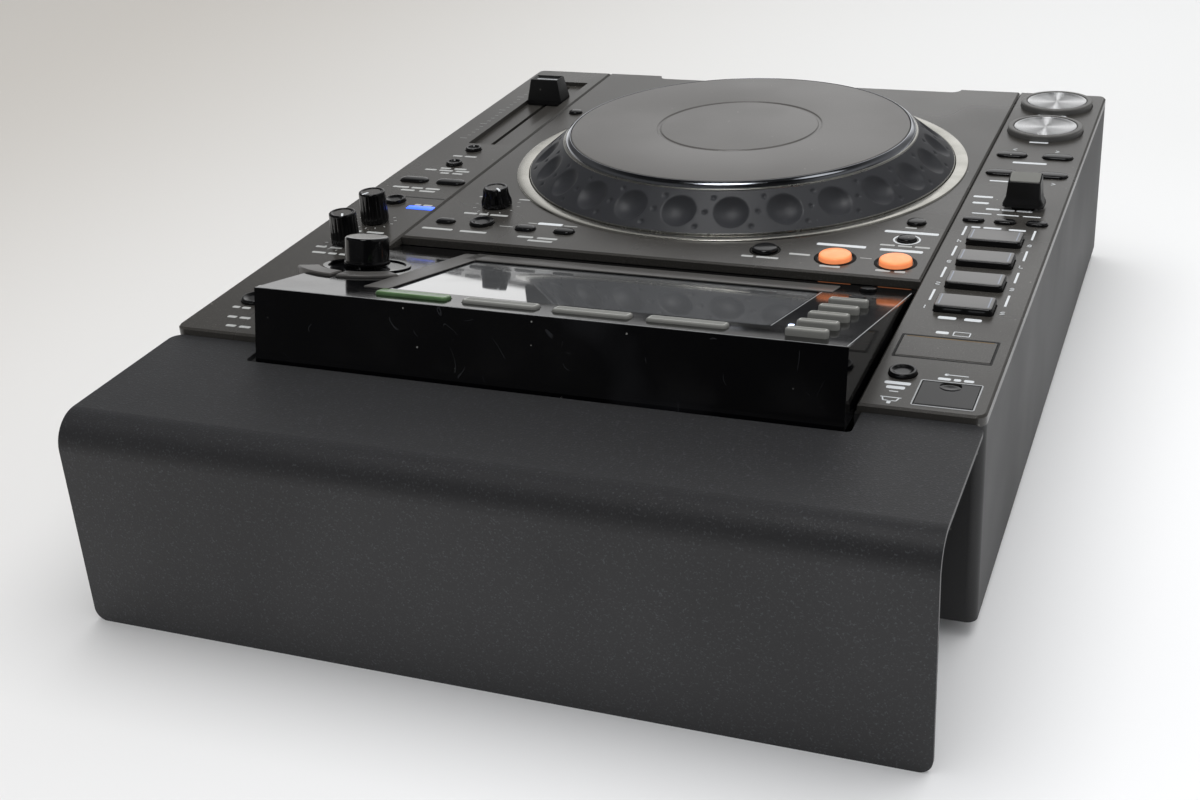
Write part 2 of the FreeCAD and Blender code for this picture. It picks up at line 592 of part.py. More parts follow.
def bottom_case():
    """Deep tray with the disc slot in its front, ribs under the seams and posts for the drive"""
    low = SLOT_LEVEL - SCALLOP_DROP
    case = deck_slab(FOOT_HEIGHT, PANEL_UNDER).cut(scallop(low, DECK_HEIGHT))
    space = deck_slab(FLOOR_TOP, DECK_HEIGHT, CASE_WALL)
    case = case.cut(space.cut(scallop(low - CASE_WALL, DECK_HEIGHT, CASE_WALL)))
    case = case.cut(box(-SLOT_WIDTH / 2, SLOT_WIDTH / 2, FRONT_Y, FRONT_Y + SCALLOP_DEPTH + 2 * CASE_WALL,
                        SLOT_LEVEL - SLOT_HEIGHT / 2, SLOT_LEVEL + SLOT_HEIGHT / 2))
    case = case.cut(housing_notch()).cut(socket_window())
    rib_outer = CENTRE_WIDTH / 2 + 0.6
    for side in (-1, 1):
        x0, x1 = sorted((side * rib_outer, side * (rib_outer - RIB_THICKNESS)))
        case = case.fuse(box(x0, x1, FRONT_Y + CASE_WALL, CENTRE_REAR_Y - 1, FLOOR_TOP, PANEL_UNDER))
    for x, y in drive_posts():
        case = case.fuse(rod(x, y, FLOOR_TOP, SLOT_LEVEL - DRIVE_BELOW, DRIVE_POST_DIAMETER / 2))
    return case.removeSplitter()


def drive_posts():
    """Places of the four posts under the disc drive"""
    x = DRIVE_WIDTH / 2 - DRIVE_POST_DIAMETER
    rear = DRIVE_FRONT + DRIVE_DEPTH
    return [(side * x, y) for side in (-1, 1) for y in (DRIVE_FRONT + 12.0, rear - 12.0)]


def housing_notch():
    """Cut in the rear wall that the display housing drops into"""
    half = HOUSING_HALF + GAP
    return box(-half, half, REAR_Y - 2 * CASE_WALL, REAR_Y + 1, HOUSING_FLOOR, DECK_HEIGHT)


def socket_window():
    """Cut in the rear wall behind the socket plate"""
    half = SOCKET_PLATE_WIDTH / 2 - SOCKET_PLATE_LAP
    tall = SOCKET_PLATE_HEIGHT / 2 - SOCKET_PLATE_LAP
    return box(-half, half, REAR_Y - 2 * CASE_WALL, REAR_Y + 1,
               SOCKET_PLATE_LEVEL - tall, SOCKET_PLATE_LEVEL + tall)


def rubber_feet():
    """Four feet, wider at the case than at the table"""
    x, r = DECK_WIDTH / 2 - FOOT_INSET, FOOT_DIAMETER / 2
    profile = [(0, 0), (r - 1.5, 0), (r, FOOT_HEIGHT), (0, FOOT_HEIGHT)]
    places = [(side * x, y) for side in (-1, 1) for y in (FRONT_Y + FOOT_INSET, REAR_Y - FOOT_INSET)]
    return Part.makeCompound([turned(profile, x, y) for x, y in places])


def disc_drive():
    """Slot-loading drive: a low chassis with the disc's path through its front"""
    half = DRIVE_WIDTH / 2
    rear = DRIVE_FRONT + DRIVE_DEPTH
    body = box(-half, half, DRIVE_FRONT, rear, SLOT_LEVEL - DRIVE_BELOW, SLOT_LEVEL + DRIVE_ABOVE)
    path = box(-SLOT_WIDTH / 2, SLOT_WIDTH / 2, DRIVE_FRONT - 1, rear - 8.0,
               SLOT_LEVEL - SLOT_HEIGHT / 2, SLOT_LEVEL + SLOT_HEIGHT / 2)
    return body.cut(path)


def tilted(solid):
    """Move a solid from the display plane to its place: y = 0 is the housing's rear top edge"""
    placed = solid.copy()
    placed.rotate(Vec(0, 0, 0), Vec(1, 0, 0), DISPLAY_TILT)
    placed.translate(Vec(0, REAR_Y + DISPLAY_OVERHANG, DISPLAY_TOP))
    return placed


def arc_key(side, grow=0.0):
    """Curved key behind the selector, about its axis; grow widens it for its pocket"""
    inner = SELECTOR_RING_DIAMETER / 2 + ARC_KEY_GAP - grow
    outer = SELECTOR_RING_DIAMETER / 2 + ARC_KEY_GAP + ARC_KEY_DEPTH + grow
    spare = math.degrees(grow / inner)
    start = 90 + side * (ARC_KEY_SWEEP / 2 + 2.5) - ARC_KEY_SWEEP / 2 - spare
    bottom = -KEY_POCKET + (0.9 if grow == 0 else 0)
    sector = Part.makeCylinder(outer, 20, Vec(0, 0, bottom), Vec(0, 0, 1), ARC_KEY_SWEEP + 2 * spare)
    sector = sector.cut(Part.makeCylinder(inner, 30, Vec(0, 0, bottom - 1)))
    sector.rotate(Vec(0, 0, 0), Vec(0, 0, 1), start)
    sector.translate(Vec(SELECTOR_X, -SELECTOR_BACK, 0))
    if grow:
        return sector
    top = box(-500, 500, -500, 500, ARC_KEY_RISE, 100)
    return bevel_top(sector.cut(top), 0.5)


def housing_blank():
    """Wedge with a square rear edge; its lower part drops into the case"""
    sin, cos = math.sin(TILT), math.cos(TILT)
    back, top = REAR_Y + DISPLAY_OVERHANG, DISPLAY_TOP
    front = CENTRE_REAR_Y
    front_top = top - DISPLAY_LENGTH * sin
    sill = COVER_TOP - COVER_SHEET
    lean = (top - sill) * sin / cos
    profile = [(back, top), (back + lean, sill), (REAR_Y, sill), (REAR_Y, HOUSING_FLOOR),
               (front, HOUSING_FLOOR), (front, front_top)]
    wedge = side_extrusion(profile, -HOUSING_HALF, HOUSING_HALF)
    inner = HOUSING_HALF - CASE_WALL
    roof = DISPLAY_WALL / cos
    hollow = side_extrusion([(REAR_Y - CASE_WALL, top - roof - DISPLAY_OVERHANG * sin),
                             (REAR_Y - CASE_WALL, HOUSING_FLOOR - 1),
                             (front + CASE_WALL, HOUSING_FLOOR - 1),
                             (front + CASE_WALL, front_top - roof + CASE_WALL * sin)], -inner, inner)
    return wedge.cut(hollow)


def display_housing():
    """Tilted housing with the glass recess, the key pockets and the selector's ring"""
    cuts = [tilted(hole(key, -KEY_POCKET, 5)) for key in list(display_keys().values()) + side_keys()]
    cuts += [tilted(arc_key(side, GAP)) for side in (-1, 1)]
    cuts.append(tilted(prism(GLASS_WIDTH, GLASS_DEPTH, 2.0, -GLASS_THICKNESS - GLASS_RECESS, 5,
                             glass_x(), glass_y())))
    stem = KNOB_SHAFT_DIAMETER / 2 + GAP
    cuts.append(tilted(rod(SELECTOR_X, -SELECTOR_BACK, -DISPLAY_WALL - 5, 5, stem)))
    ring = rod(0, 0, -1, SELECTOR_RING_HEIGHT, SELECTOR_RING_DIAMETER / 2)
    ring = ring.cut(rod(0, 0, -2, 2, SELECTOR_RING_DIAMETER / 2 - SELECTOR_RING_WIDTH))
    housing = housing_blank().fuse(tilted(ring.translated(Vec(SELECTOR_X, -SELECTOR_BACK, 0))))
    for tool in cuts:
        housing = housing.cut(tool)
    return housing.removeSplitter()


def glass_x():
    return -HOUSING_HALF + SOURCE_STRIP + GLASS_WIDTH / 2


def glass_y():
    return -MENU_STRIP - GLASS_DEPTH / 2


def display_glass():
    """Sheet of glass, seated on the floor of its recess"""
    sheet = prism(GLASS_WIDTH - 2 * GAP, GLASS_DEPTH - 2 * GAP, 1.7, -GLASS_THICKNESS - GLASS_RECESS,
                  -GLASS_RECESS, glass_x(), glass_y())
    return tilted(sheet)


def display_key(key):
    """Key in a blind pocket of the display housing"""
    foot = -KEY_POCKET + key.travel + 0.2
    return bevel_top(prism(key.width, key.depth, key.radius, foot, key.rise, key.x, key.y), key.bevel)


def selector_stem():
    """Stem that carries the selector knob and presses into the housing"""
    stem = rod(0, 0, -DISPLAY_WALL - 1, SELECTOR_HEIGHT - 3.0, KNOB_SHAFT_DIAMETER / 2)
    collar = rod(0, 0, -DISPLAY_WALL - 2.2, -DISPLAY_WALL - 1.0, KNOB_SHAFT_DIAMETER / 2 + 1.5)
    return tilted(stem.fuse(collar).translated(Vec(SELECTOR_X, -SELECTOR_BACK, 0)))


def selector_knob():
    """Knob that turns on the selector's stem"""
    knob = knob_body(SELECTOR_DIAMETER, SELECTOR_HEIGHT - 1.2, 16, 0.7)
    knob.translate(Vec(0, 0, 1.2))
    bore = rod(0, 0, 0, SELECTOR_HEIGHT - 3.0 + SHAFT_GAP, KNOB_SHAFT_DIAMETER / 2 + SHAFT_GAP)
    return tilted(knob.cut(bore).translated(Vec(SELECTOR_X, -SELECTOR_BACK, 0)))


def tempo_slider():
    """Slider cap with a finger groove across it, on a flat stem in the slot"""
    z0 = DECK_HEIGHT - CHANNEL_DEPTH + KNOB_LIFT
    top = DECK_HEIGHT + SLIDER_CAP_HEIGHT
    half, crown = SLIDER_CAP_LENGTH / 2, SLIDER_CAP_LENGTH / 2 - 2.2
    profile = [(-half, z0), (half, z0), (half, z0 + 2.5), (crown, top), (-crown, top), (-half, z0 + 2.5)]
    cap = side_extrusion(profile, -SLIDER_CAP_WIDTH / 2, SLIDER_CAP_WIDTH / 2)
    groove = bar(-SLIDER_CAP_WIDTH, SLIDER_CAP_WIDTH, 0, top + 4.4, 6.0)
    stem = prism(SLIDER_STEM_WIDTH, SLIDER_STEM_LENGTH, 0.5, PANEL_UNDER - KNOB_DROP, z0 + 1)
    return cap.cut(groove).fuse(stem).translated(Vec(SLIDER_X, SLIDER_Y, 0))


def direction_lever():
    """Toggle: a tapered handle on a flat stem, with its pivot bar under the panel"""
    z0, top = DECK_HEIGHT + LEVER_LIFT, DECK_HEIGHT + LEVER_HEIGHT
    foot = LEVER_LENGTH / 2
    crown = foot - 1.8
    profile = [(-foot, z0), (foot, z0), (foot, z0 + 3.0), (crown, top), (-crown, top), (-foot, z0 + 3.0)]
    handle = side_extrusion(profile, -LEVER_WIDTH / 2, LEVER_WIDTH / 2)
    handle = bevel_top(handle, 0.7)
    stem = box(-LEVER_STEM_WIDTH / 2, LEVER_STEM_WIDTH / 2, -LEVER_STEM_LENGTH / 2, LEVER_STEM_LENGTH / 2,
               LEVER_PIVOT_Z, z0 + 1)
    reach = LEVER_STEM_WIDTH / 2 + 2
    pivot = bar(-reach, reach, 0, LEVER_PIVOT_Z, LEVER_STEM_LENGTH / 2)
    return handle.fuse(stem).fuse(pivot).translated(Vec(LEVER_X, LEVER_Y, 0))


def socket_shell(spec):
    """Square socket that runs into the case behind the plate"""
    w, h = spec["width"] / 2, spec["height"] / 2
    x, z, wall = spec["x"], SOCKET_PLATE_LEVEL, SOCKET_WALL
    return box(x - w - wall, x + w + wall, REAR_Y - spec["depth"] - wall, REAR_Y,
               z - h - wall, z + h + wall)


def socket_space(spec):
    w, h = spec["width"] / 2, spec["height"] / 2
    x, z = spec["x"], SOCKET_PLATE_LEVEL
    return box(x - w, x + w, REAR_Y - spec["depth"], REAR_Y + 5, z - h, z + h)


def rear_sockets():
    """Plate on the rear wall with the mains inlet, data sockets, phono sockets and power switch"""
    half, tall = SOCKET_PLATE_WIDTH / 2, SOCKET_PLATE_HEIGHT / 2
    face = REAR_Y + SOCKET_PLATE_THICKNESS
    z = SOCKET_PLATE_LEVEL
    plate = box(-half, half, REAR_Y, face, z - tall, z + tall)
    for spec in (INLET, NETWORK, USB_B):
        plate = plate.fuse(socket_shell(spec)).cut(socket_space(spec))
    for x in (-7.0, 0.0, 7.0):
        pin = box(INLET["x"] + x - 1, INLET["x"] + x + 1, REAR_Y - INLET["depth"] - 0.5, REAR_Y - 3,
                  z - 3 + 4 * (x == 0), z + 3 + 4 * (x == 0))
        plate = plate.fuse(pin)
    for x in PHONO_XS:
        collar = Part.makeCylinder(PHONO_DIAMETER / 2, PHONO_LENGTH, Vec(x, face, z), Vec(0, 1, 0))
        core = Part.makeCylinder(1.7, PHONO_LENGTH + 1, Vec(x, face, z), Vec(0, 1, 0))
        plate = plate.fuse(collar).cut(core)
    size = POWER_SWITCH_SIZE / 2
    profile = [(REAR_Y, z - size), (face + 3.0, z - size), (face + 0.8, z), (face + 1.4, z + size),
               (REAR_Y, z + size)]
    rocker = side_extrusion(profile, POWER_SWITCH_X - size, POWER_SWITCH_X + size)
    return plate.fuse(rocker).removeSplitter()


def rear_cover():
    """Bent sheet: a top plate around the display housing and a rear wall down to the table"""
    front, rear = REAR_Y + GAP, REAR_Y + COVER_DEPTH
    outer, inner = COVER_BEND, COVER_BEND - COVER_SHEET
    centre_y, centre_z = rear - outer, COVER_TOP - outer

    def line(y0, z0, y1, z1):
        return Part.makeLine(Vec(0, y0, z0), Vec(0, y1, z1))

    def bend(radius):
        half = radius * math.sqrt(0.5)
        return Part.Arc(Vec(0, centre_y, centre_z + radius), Vec(0, centre_y + half, centre_z + half),
                        Vec(0, centre_y + radius, centre_z)).toShape()

    under, inside = COVER_TOP - COVER_SHEET, rear - COVER_SHEET
    edges = [
        line(front, COVER_TOP, centre_y, COVER_TOP), bend(outer),
        line(rear, centre_z, rear, 0), line(rear, 0, inside, 0), line(inside, 0, inside, centre_z),
        bend(inner), line(centre_y, under, front, under), line(front, under, front, COVER_TOP),
    ]
    sheet = Part.Face(Part.Wire(edges)).extrude(Vec(DECK_WIDTH, 0, 0))
    sheet.translate(Vec(-DECK_WIDTH / 2, 0, 0))
    corners = [e for e in sheet.Edges if is_cover_corner(e)]
    sheet = sheet.makeFillet(COVER_CORNER, corners)
    reach = 2 * (DISPLAY_OVERHANG + (DISPLAY_TOP - COVER_TOP) * math.tan(TILT) + COVER_NOTCH_GAP)
    notch = prism(2 * (HOUSING_HALF + COVER_NOTCH_GAP), reach, 2.0, COVER_TOP - 10, COVER_TOP + 10,
                  0, REAR_Y)
    return sheet.cut(notch)


def is_cover_corner(edge):
    """True for the short edges at the cover's front corners and at its lower corners"""
    a, b = (v.Point for v in edge.Vertexes)
    middle = (a + b) * 0.5
    at_front = abs(middle.y - REAR_Y - GAP) < TINY and abs(a.z - b.z) > 1
    at_foot = abs(middle.z) < TINY and abs(a.y - b.y) > 1
    return at_front or at_foot


def fixed_parts():
    return {
        "bottom_case": bottom_case(),
        "centre_panel": centre_panel(),
        "left_column_panel": left_column_panel(),
        "right_column_panel": right_column_panel(),
        "display_housing": display_housing(),
        "display_glass": display_glass(),
        "jog_ring": jog_ring(),
        "rear_cover": rear_cover(),
        "rubber_feet": rubber_feet(),
        "rear_sockets": rear_sockets(),
        "disc_drive": disc_drive(),
    }


def moving_parts():
    parts = {
        "jog_dial": jog_dial(),
        "jog_top_plate": jog_top_plate(),
        "tempo_slider": tempo_slider(),
        "direction_lever": direction_lever(),
        "selector_stem": selector_stem(),
        "selector_knob": selector_knob(),
        "back_button": tilted(arc_key(-1)),
        "tag_button": tilted(arc_key(1)),
        "usb_door": door(USB_DOOR, -COLUMN_X),
        "card_door": door(CARD_DOOR, -COLUMN_X),
    }
    for name, key in {**left_keys(), **right_keys(), **centre_keys()}.items():
        large = key.width == key.depth and key.width > 20
        parts[name] = dished_key(key) if large else panel_key(key)
    for name, keys in key_carriers().items():
        parts[name] = carried_keys(keys)
    for name, key in display_keys().items():
        parts[name] = tilted(display_key(key))
    for name, place in panel_knobs().items():
        parts[name] = panel_knob(*place)
    parts["display_side_keys"] = tilted(Part.makeCompound([display_key(key) for key in side_keys()]))
    return parts


def main():
    os.makedirs("parts", exist_ok=True)
    for name, shape in {**fixed_parts(), **moving_parts()}.items():
        shape.exportStep("parts/%s.step" % name)


if __name__ == "__main__":
    main()
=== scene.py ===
"""Looks of a slot-loading disc deck: its wheel, keys, knobs, trim, prints, finishes and studio.

The CAD frame gives every place. Lengths are written in millimetres and become metres in the mesh.
"""

import json
import math

import bpy
import numpy as np
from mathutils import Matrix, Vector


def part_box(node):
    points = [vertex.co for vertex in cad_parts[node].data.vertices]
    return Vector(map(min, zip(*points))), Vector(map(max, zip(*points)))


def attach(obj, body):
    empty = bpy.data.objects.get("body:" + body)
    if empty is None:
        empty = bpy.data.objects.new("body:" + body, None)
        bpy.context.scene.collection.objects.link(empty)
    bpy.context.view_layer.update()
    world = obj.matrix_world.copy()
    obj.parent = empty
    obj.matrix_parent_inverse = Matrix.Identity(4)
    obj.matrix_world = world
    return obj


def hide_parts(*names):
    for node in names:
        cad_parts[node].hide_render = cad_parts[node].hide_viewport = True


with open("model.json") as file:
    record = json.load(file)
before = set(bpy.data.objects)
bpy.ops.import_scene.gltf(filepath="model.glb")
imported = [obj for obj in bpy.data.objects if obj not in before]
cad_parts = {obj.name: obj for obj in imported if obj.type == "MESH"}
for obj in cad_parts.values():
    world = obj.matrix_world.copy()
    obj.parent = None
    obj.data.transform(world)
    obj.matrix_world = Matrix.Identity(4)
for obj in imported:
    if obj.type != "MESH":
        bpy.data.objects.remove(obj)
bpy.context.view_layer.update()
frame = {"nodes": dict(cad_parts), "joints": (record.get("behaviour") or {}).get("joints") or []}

bl_info = {
    "name": "Disc deck looks",
    "version": (1, 0, 0),
    "blender": (4, 5, 0),
    "location": "View3D > Sidebar > Disc deck",
    "description": "Detailed pieces and finishes around the packed disc deck",
    "category": "Object",
}

MM = 0.001
DECK = "deck"
GAP = 0.3                        # a key in its hole
KEY_LUG = 0.6                    # reach of a key's lugs past its hole, under the panel
DISPLAY_REAR = (156.707, 112.2)  # rear top edge of the display housing: y, z
KEY_ROOT = -3.0                  # foot of a display key under the housing's top
MENU_KEY = (29.6, 7.0, 1.3)      # width, depth, rise over the housing
SOURCE_KEY = (15.0, 5.6, 2.6)
SIDE_KEY = (6.5, 6.5, 1.4)
CONE_HEIGHT = 13.8               # of the jog dial's slope
CONE_WIDTH = 17.2
CONE_ROWS = 46
DIAL_SKIRT = 1.0
BEZEL_WIDTH = 3.8
DIMPLE_COUNT = 25
DIMPLE_DIAMETER = 15.6
DIMPLE_STEPS = 44                # points round the dial in each interval between dimples
RIM_SOFTNESS = 0.012             # mm2, rounds the rim of a dimple
SPECK_RADIUS = 1.7
# Small dimples of an interval: height as a share of the slope, turn as a share of the interval
SPECKS = ((0.33, 0.147), (0.0, 0.0), (-0.33, -0.147))
GROOVE_RADIUS = 39.0
SELECTOR_PLACE = (101.4, -63.8)  # on the display plane
SELECTOR_HEIGHT = 11.2
SELECTOR_LIFT = 1.2
SELECTOR_FLUTES = 24
PAD_RISE = 2.6                   # of a pad's black base over the panel
PAD_LINE = (0.45, 1.9)           # width, and inset from the pad's side
DISC_INSET = 3.0                 # of the metal disc of the cue and play keys
KNOB_STEM_RADIUS = 2.9
POINTER_WIDTH = 1.0
SLIDER_LINE = 0.8                # width of the line on its cap
SLIDER_STEM = (1.6, 8.0)
LEVER_HANDLE = (16.0, 9.0)
# Size of the lighter cap on the lever's top, which is painted sheen
LEVER_TOP = (12.8, 6.2)
LEVER_RAMP = 0.36                # slope of its top toward the front
LEVER_STEM = (9.0, 4.0)
CATCH_WIDTH = 0.62               # of the USB door's oval catch, as a share of its length
UV_SCALE = 20                    # of v per metre, on turned pieces
PRINT_SINK = 0.02                # of a printed mark into its panel
CAMERA_PLACE = (-0.23112, 0.65519, 0.34830)
CAMERA_TURN = (63.642, 3.306, -159.085)
CAMERA_LENS = 50.21

SINGLE_KEYS = ("usb_stop_button", "search_back_button", "search_forward_button", "track_back_button",
               "track_forward_button", "eject_button", "jog_mode_button", "sync_button", "master_button",
               "tempo_range_button", "master_tempo_button", "memory_button", "delete_button",
               "tempo_reset_button")
DISHED_KEYS = ("usb_stop_button", "eject_button", "jog_mode_button", "memory_button", "tempo_range_button",
               "master_tempo_button")
# Keys on one carrier: count, the axis they stand along, width and depth of each
KEY_SETS = {"bank_keys": (3, 0, (9.0, 5.4)), "call_keys": (2, 0, (9.5, 6.4)),
            "loop_cut_keys": (2, 1, (8.0, 8.0))}
# Knobs: flutes, their depth, the way the pointer aims, and how much the side narrows
KNOBS = {"touch_speed_knob": (18, 0.05, 0.5, 0.06), "release_speed_knob": (18, 0.05, -0.4, 0.06),
         "jog_adjust_knob": (10, 0.2, 0.75, 0.2)}


# Places read from the frame, in millimetres


def node_box(node):
    """Lowest and highest corner of a node"""
    lo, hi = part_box(node)
    return np.array(lo) / MM, np.array(hi) / MM


def plan(node):
    """A node seen from above: its middle and its size, then its lowest and highest z"""
    lo, hi = node_box(node)
    return (lo + hi)[:2] / 2, (hi - lo)[:2], lo[2], hi[2]


def joint_named(name):
    """A joint of the frame"""
    return next(j for j in frame["joints"] if j["name"] == name)


PANEL_TOP = node_box("right_column_panel")[1][2]
JOG_CENTRE = np.array(joint_named("jog_spin")["pos_m"])[:2] / MM
MENU_PRESS = joint_named("menu_button_1_press")["axis"]
TILT = math.atan2(MENU_PRESS[1], -MENU_PRESS[2])


def on_display(points):
    """Turn points of the display plane (x across, y up the slope) into the frame: a turn by the
    tilt about X, then a move to the housing's rear top edge"""
    x, y, z = np.moveaxis(np.asarray(points, float), -1, 0)
    rear, top = DISPLAY_REAR
    return np.stack([x, y * math.cos(TILT) - z * math.sin(TILT) + rear,
                     y * math.sin(TILT) + z * math.cos(TILT) + top], -1)


def display_place(node):
    """Middle of a node's box, in the display plane"""
    lo, hi = node_box(node)
    x, y, z = (lo + hi) / 2
    return x, (y - DISPLAY_REAR[0]) * math.cos(TILT) + (z - DISPLAY_REAR[1]) * math.sin(TILT)


# Surfaces: grids of points, one ring per row, each ring anticlockwise seen from above


def rounded(corners, radius, steps=5):
    """Polyline whose inner corners are rounded: each is the quadratic curve
    (1-t)^2 a + 2t(1-t) corner + t^2 b between points a and b at the radius before and after it"""
    p = np.asarray(corners, float)
    radius = np.broadcast_to(radius, len(p) - 2).astype(float)
    t = np.linspace(0, 1, steps)[:, None]
    out = [p[:1]]
    for before, corner, after, reach in zip(p[:-2], p[1:-1], p[2:], radius):
        back, on = before - corner, after - corner
        a = corner + back * min(reach / np.linalg.norm(back), 0.49)
        b = corner + on * min(reach / np.linalg.norm(on), 0.49)
        out.append((1 - t) ** 2 * a + 2 * t * (1 - t) * corner + t ** 2 * b)
    out.append(p[-1:])
    return np.concatenate(out)


def lathe(profile, centre=(0.0, 0.0), steps=96, flute=None):
    """Surface of revolution: x = cx + r cos a, y = cy + r sin a, z from the profile of (r, z).
    flute(a, z) scales r, for grips"""
    profile = np.asarray(profile, float)
    angle = np.linspace(0, 2 * np.pi, steps, endpoint=False)[None, :]
    r, z = profile[:, :1], profile[:, 1:]
    r = r * (flute(angle, z) if flute else 1.0)
    return np.stack(np.broadcast_arrays(centre[0] + r * np.cos(angle), centre[1] + r * np.sin(angle), z), -1)


def stacked(width, depth, radius, profile, centre=(0.0, 0.0), corner_steps=9):
    """Rounded rectangle carried up a profile of (inset, z): at each row every corner is a quarter
    circle of the radius less the inset, about a centre that keeps the sides parallel"""
    profile = np.asarray(profile, float)
    inset, z = profile[:, :1], profile[:, 1:]
    r = np.clip(radius - inset, 0.03, None)
    turn = np.linspace(0, np.pi / 2, corner_steps)
    angle = np.concatenate([turn + k * np.pi / 2 for k in range(4)])[None, :]
    sx = np.repeat([1, -1, -1, 1], corner_steps)[None, :]
    sy = np.repeat([1, 1, -1, -1], corner_steps)[None, :]
    x = sx * np.clip(width / 2 - inset - r, 0, None) + r * np.cos(angle)
    y = sy * np.clip(depth / 2 - inset - r, 0, None) + r * np.sin(angle)
    apart = np.hypot(x[0] - np.roll(x[0], 1), y[0] - np.roll(y[0], 1)) > 0.002
    x, y = centre[0] + x[:, apart], centre[1] + y[:, apart]
    return np.stack(np.broadcast_arrays(x, y, z), -1)


def ring_faces(rows, cols, loop):
    """Quads between neighbouring rings; the last ring joins the first where the section is a loop,
    and otherwise a face closes each end"""
    row, col = np.meshgrid(np.arange(rows if loop else rows - 1), np.arange(cols), indexing="ij")
    up, on = (row + 1) % rows, (col + 1) % cols
    quads = np.stack([row * cols + col, row * cols + on, up * cols + on, up * cols + col], -1)
    faces = quads.reshape(-1, 4).tolist()
    if not loop:
        last = (rows - 1) * cols
        faces += [list(range(cols))[::-1], list(range(last, last + cols))]
    return faces


def add_to_scene(obj):
    """Link an object into the scene, and hand it back"""
    bpy.context.scene.collection.objects.link(obj)
    return obj


def piece(name, surfaces, finish, body=DECK, replaces=(), loop=False, sharp=35.0):
    """One mesh object from one or more ring surfaces, riding on a body"""
    points, faces, start = [], [], 0
    for rings in surfaces:
        rows, cols = rings.shape[:2]
        points.append(rings.reshape(-1, 3))
        faces += [[i + start for i in face] for face in ring_faces(rows, cols, loop)]
        start += rows * cols
    mesh = bpy.data.meshes.new(name)
    mesh.from_pydata((np.concatenate(points) * MM).tolist(), [], faces)
    mesh.shade_smooth()
    mesh.set_sharp_from_angle(angle=math.radians(sharp))
    mesh.materials.append(FINISHES[finish])
    obj = add_to_scene(bpy.data.objects.new(name, mesh))
    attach(obj, body)
    if replaces:
        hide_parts(*replaces)
    return obj


# Shader nodes, and the node groups that several finishes share


def linear(code):
    """Linear colour of a six-digit sRGB code"""
    values = [int(code[i:i + 2], 16) / 255 for i in (0, 2, 4)]
    return tuple(v / 12.92 if v <= 0.04045 else ((v + 0.055) / 1.055) ** 2.4 for v in values)


def link(tree, value, socket):
    """Feed an input from another node's socket, or set it to a plain value"""
    if isinstance(value, bpy.types.NodeSocket):
        tree.links.new(value, socket)
    else:
        socket.default_value = value


def add_node(tree, kind, inputs=None, **settings):
    """Outputs of a new shader node, whose inputs are sockets or plain values"""
    node = tree.nodes.new("ShaderNode" + kind)
    for label, value in settings.items():
        setattr(node, label, value)
    for label, value in (inputs or {}).items():
        link(tree, value, node.inputs[label])
    return node.outputs


def math_node(tree, operation, *values, clamp=False):
    """Result of one step of arithmetic on sockets and plain values"""
    return add_node(tree, "Math", dict(enumerate(values)), operation=operation, use_clamp=clamp)[0]


def times(tree, first, second):
    """Product of two levels"""
    return math_node(tree, "MULTIPLY", first, second)


def ranged(tree, value, low, high, to_low=0.0, to_high=1.0):
    """Map a value from low..high to to_low..to_high with smooth ends"""
    inputs = {"Value": value, "From Min": low, "From Max": high, "To Min": to_low, "To Max": to_high}
    return add_node(tree, "MapRange", inputs, interpolation_type="SMOOTHSTEP")["Result"]


def noise(tree, vector, scale, detail=2.0, distortion=0.0):
    """Level of Blender's fractal noise, about 0.5 on average"""
    inputs = {"Vector": vector, "Scale": scale, "Detail": detail, "Distortion": distortion}
    return add_node(tree, "TexNoise", inputs)["Fac"]


def new_group(name, defaults, results):
    """Node group with a Vector input, float inputs with defaults and float results: its tree, what
    its inputs give inside, and the sockets that take its results"""
    group = bpy.data.node_groups.new(name, "ShaderNodeTree")
    add = group.interface.new_socket
    add("Vector", in_out="INPUT", socket_type="NodeSocketVector")
    for label, default in defaults.items():
        add(label, in_out="INPUT", socket_type="NodeSocketFloat").default_value = default
    for label in results:
        add(label, in_out="OUTPUT", socket_type="NodeSocketFloat")
    return group, group.nodes.new("NodeGroupInput").outputs, group.nodes.new("NodeGroupOutput").inputs


def grain_group():
    """Moulded or powder-coat grain: fine noise for height, and coarse noise for patches of tone"""
    defaults = {"Scale": 2500.0, "Patch scale": 9.0}
    tree, given, result = new_group("Fine grain", defaults, ["Height", "Speckle", "Patch"])
    fine = noise(tree, given["Vector"], given["Scale"], 3.0)
    patch = noise(tree, given["Vector"], given["Patch scale"], 3.0)
    link(tree, fine, result["Height"])
    link(tree, ranged(tree, fine, 0.56, 0.72), result["Speckle"])
    link(tree, ranged(tree, patch, 0.3, 0.7), result["Patch"])
    return tree


def dust_group():
    """Loose specks of dust: small discs at the points of a Voronoi pattern, few of them kept"""
    tree, given, result = new_group("Dust", {"Scale": 260.0, "Share": 0.25}, ["Mask"])
    cells = add_node(tree, "TexVoronoi", {"Vector": given["Vector"], "Scale": given["Scale"]})
    split = add_node(tree, "SeparateColor", {"Color": cells["Color"]})
    disc = math_node(tree, "LESS_THAN", cells["Distance"], times(tree, split["Green"], 0.13))
    kept = math_node(tree, "LESS_THAN", split["Red"], given["Share"])
    clump = ranged(tree, noise(tree, given["Vector"], 14.0, 3.0), 0.42, 0.68, 0.25, 1.0)
    link(tree, times(tree, times(tree, disc, kept), clump), result["Mask"])
    return tree


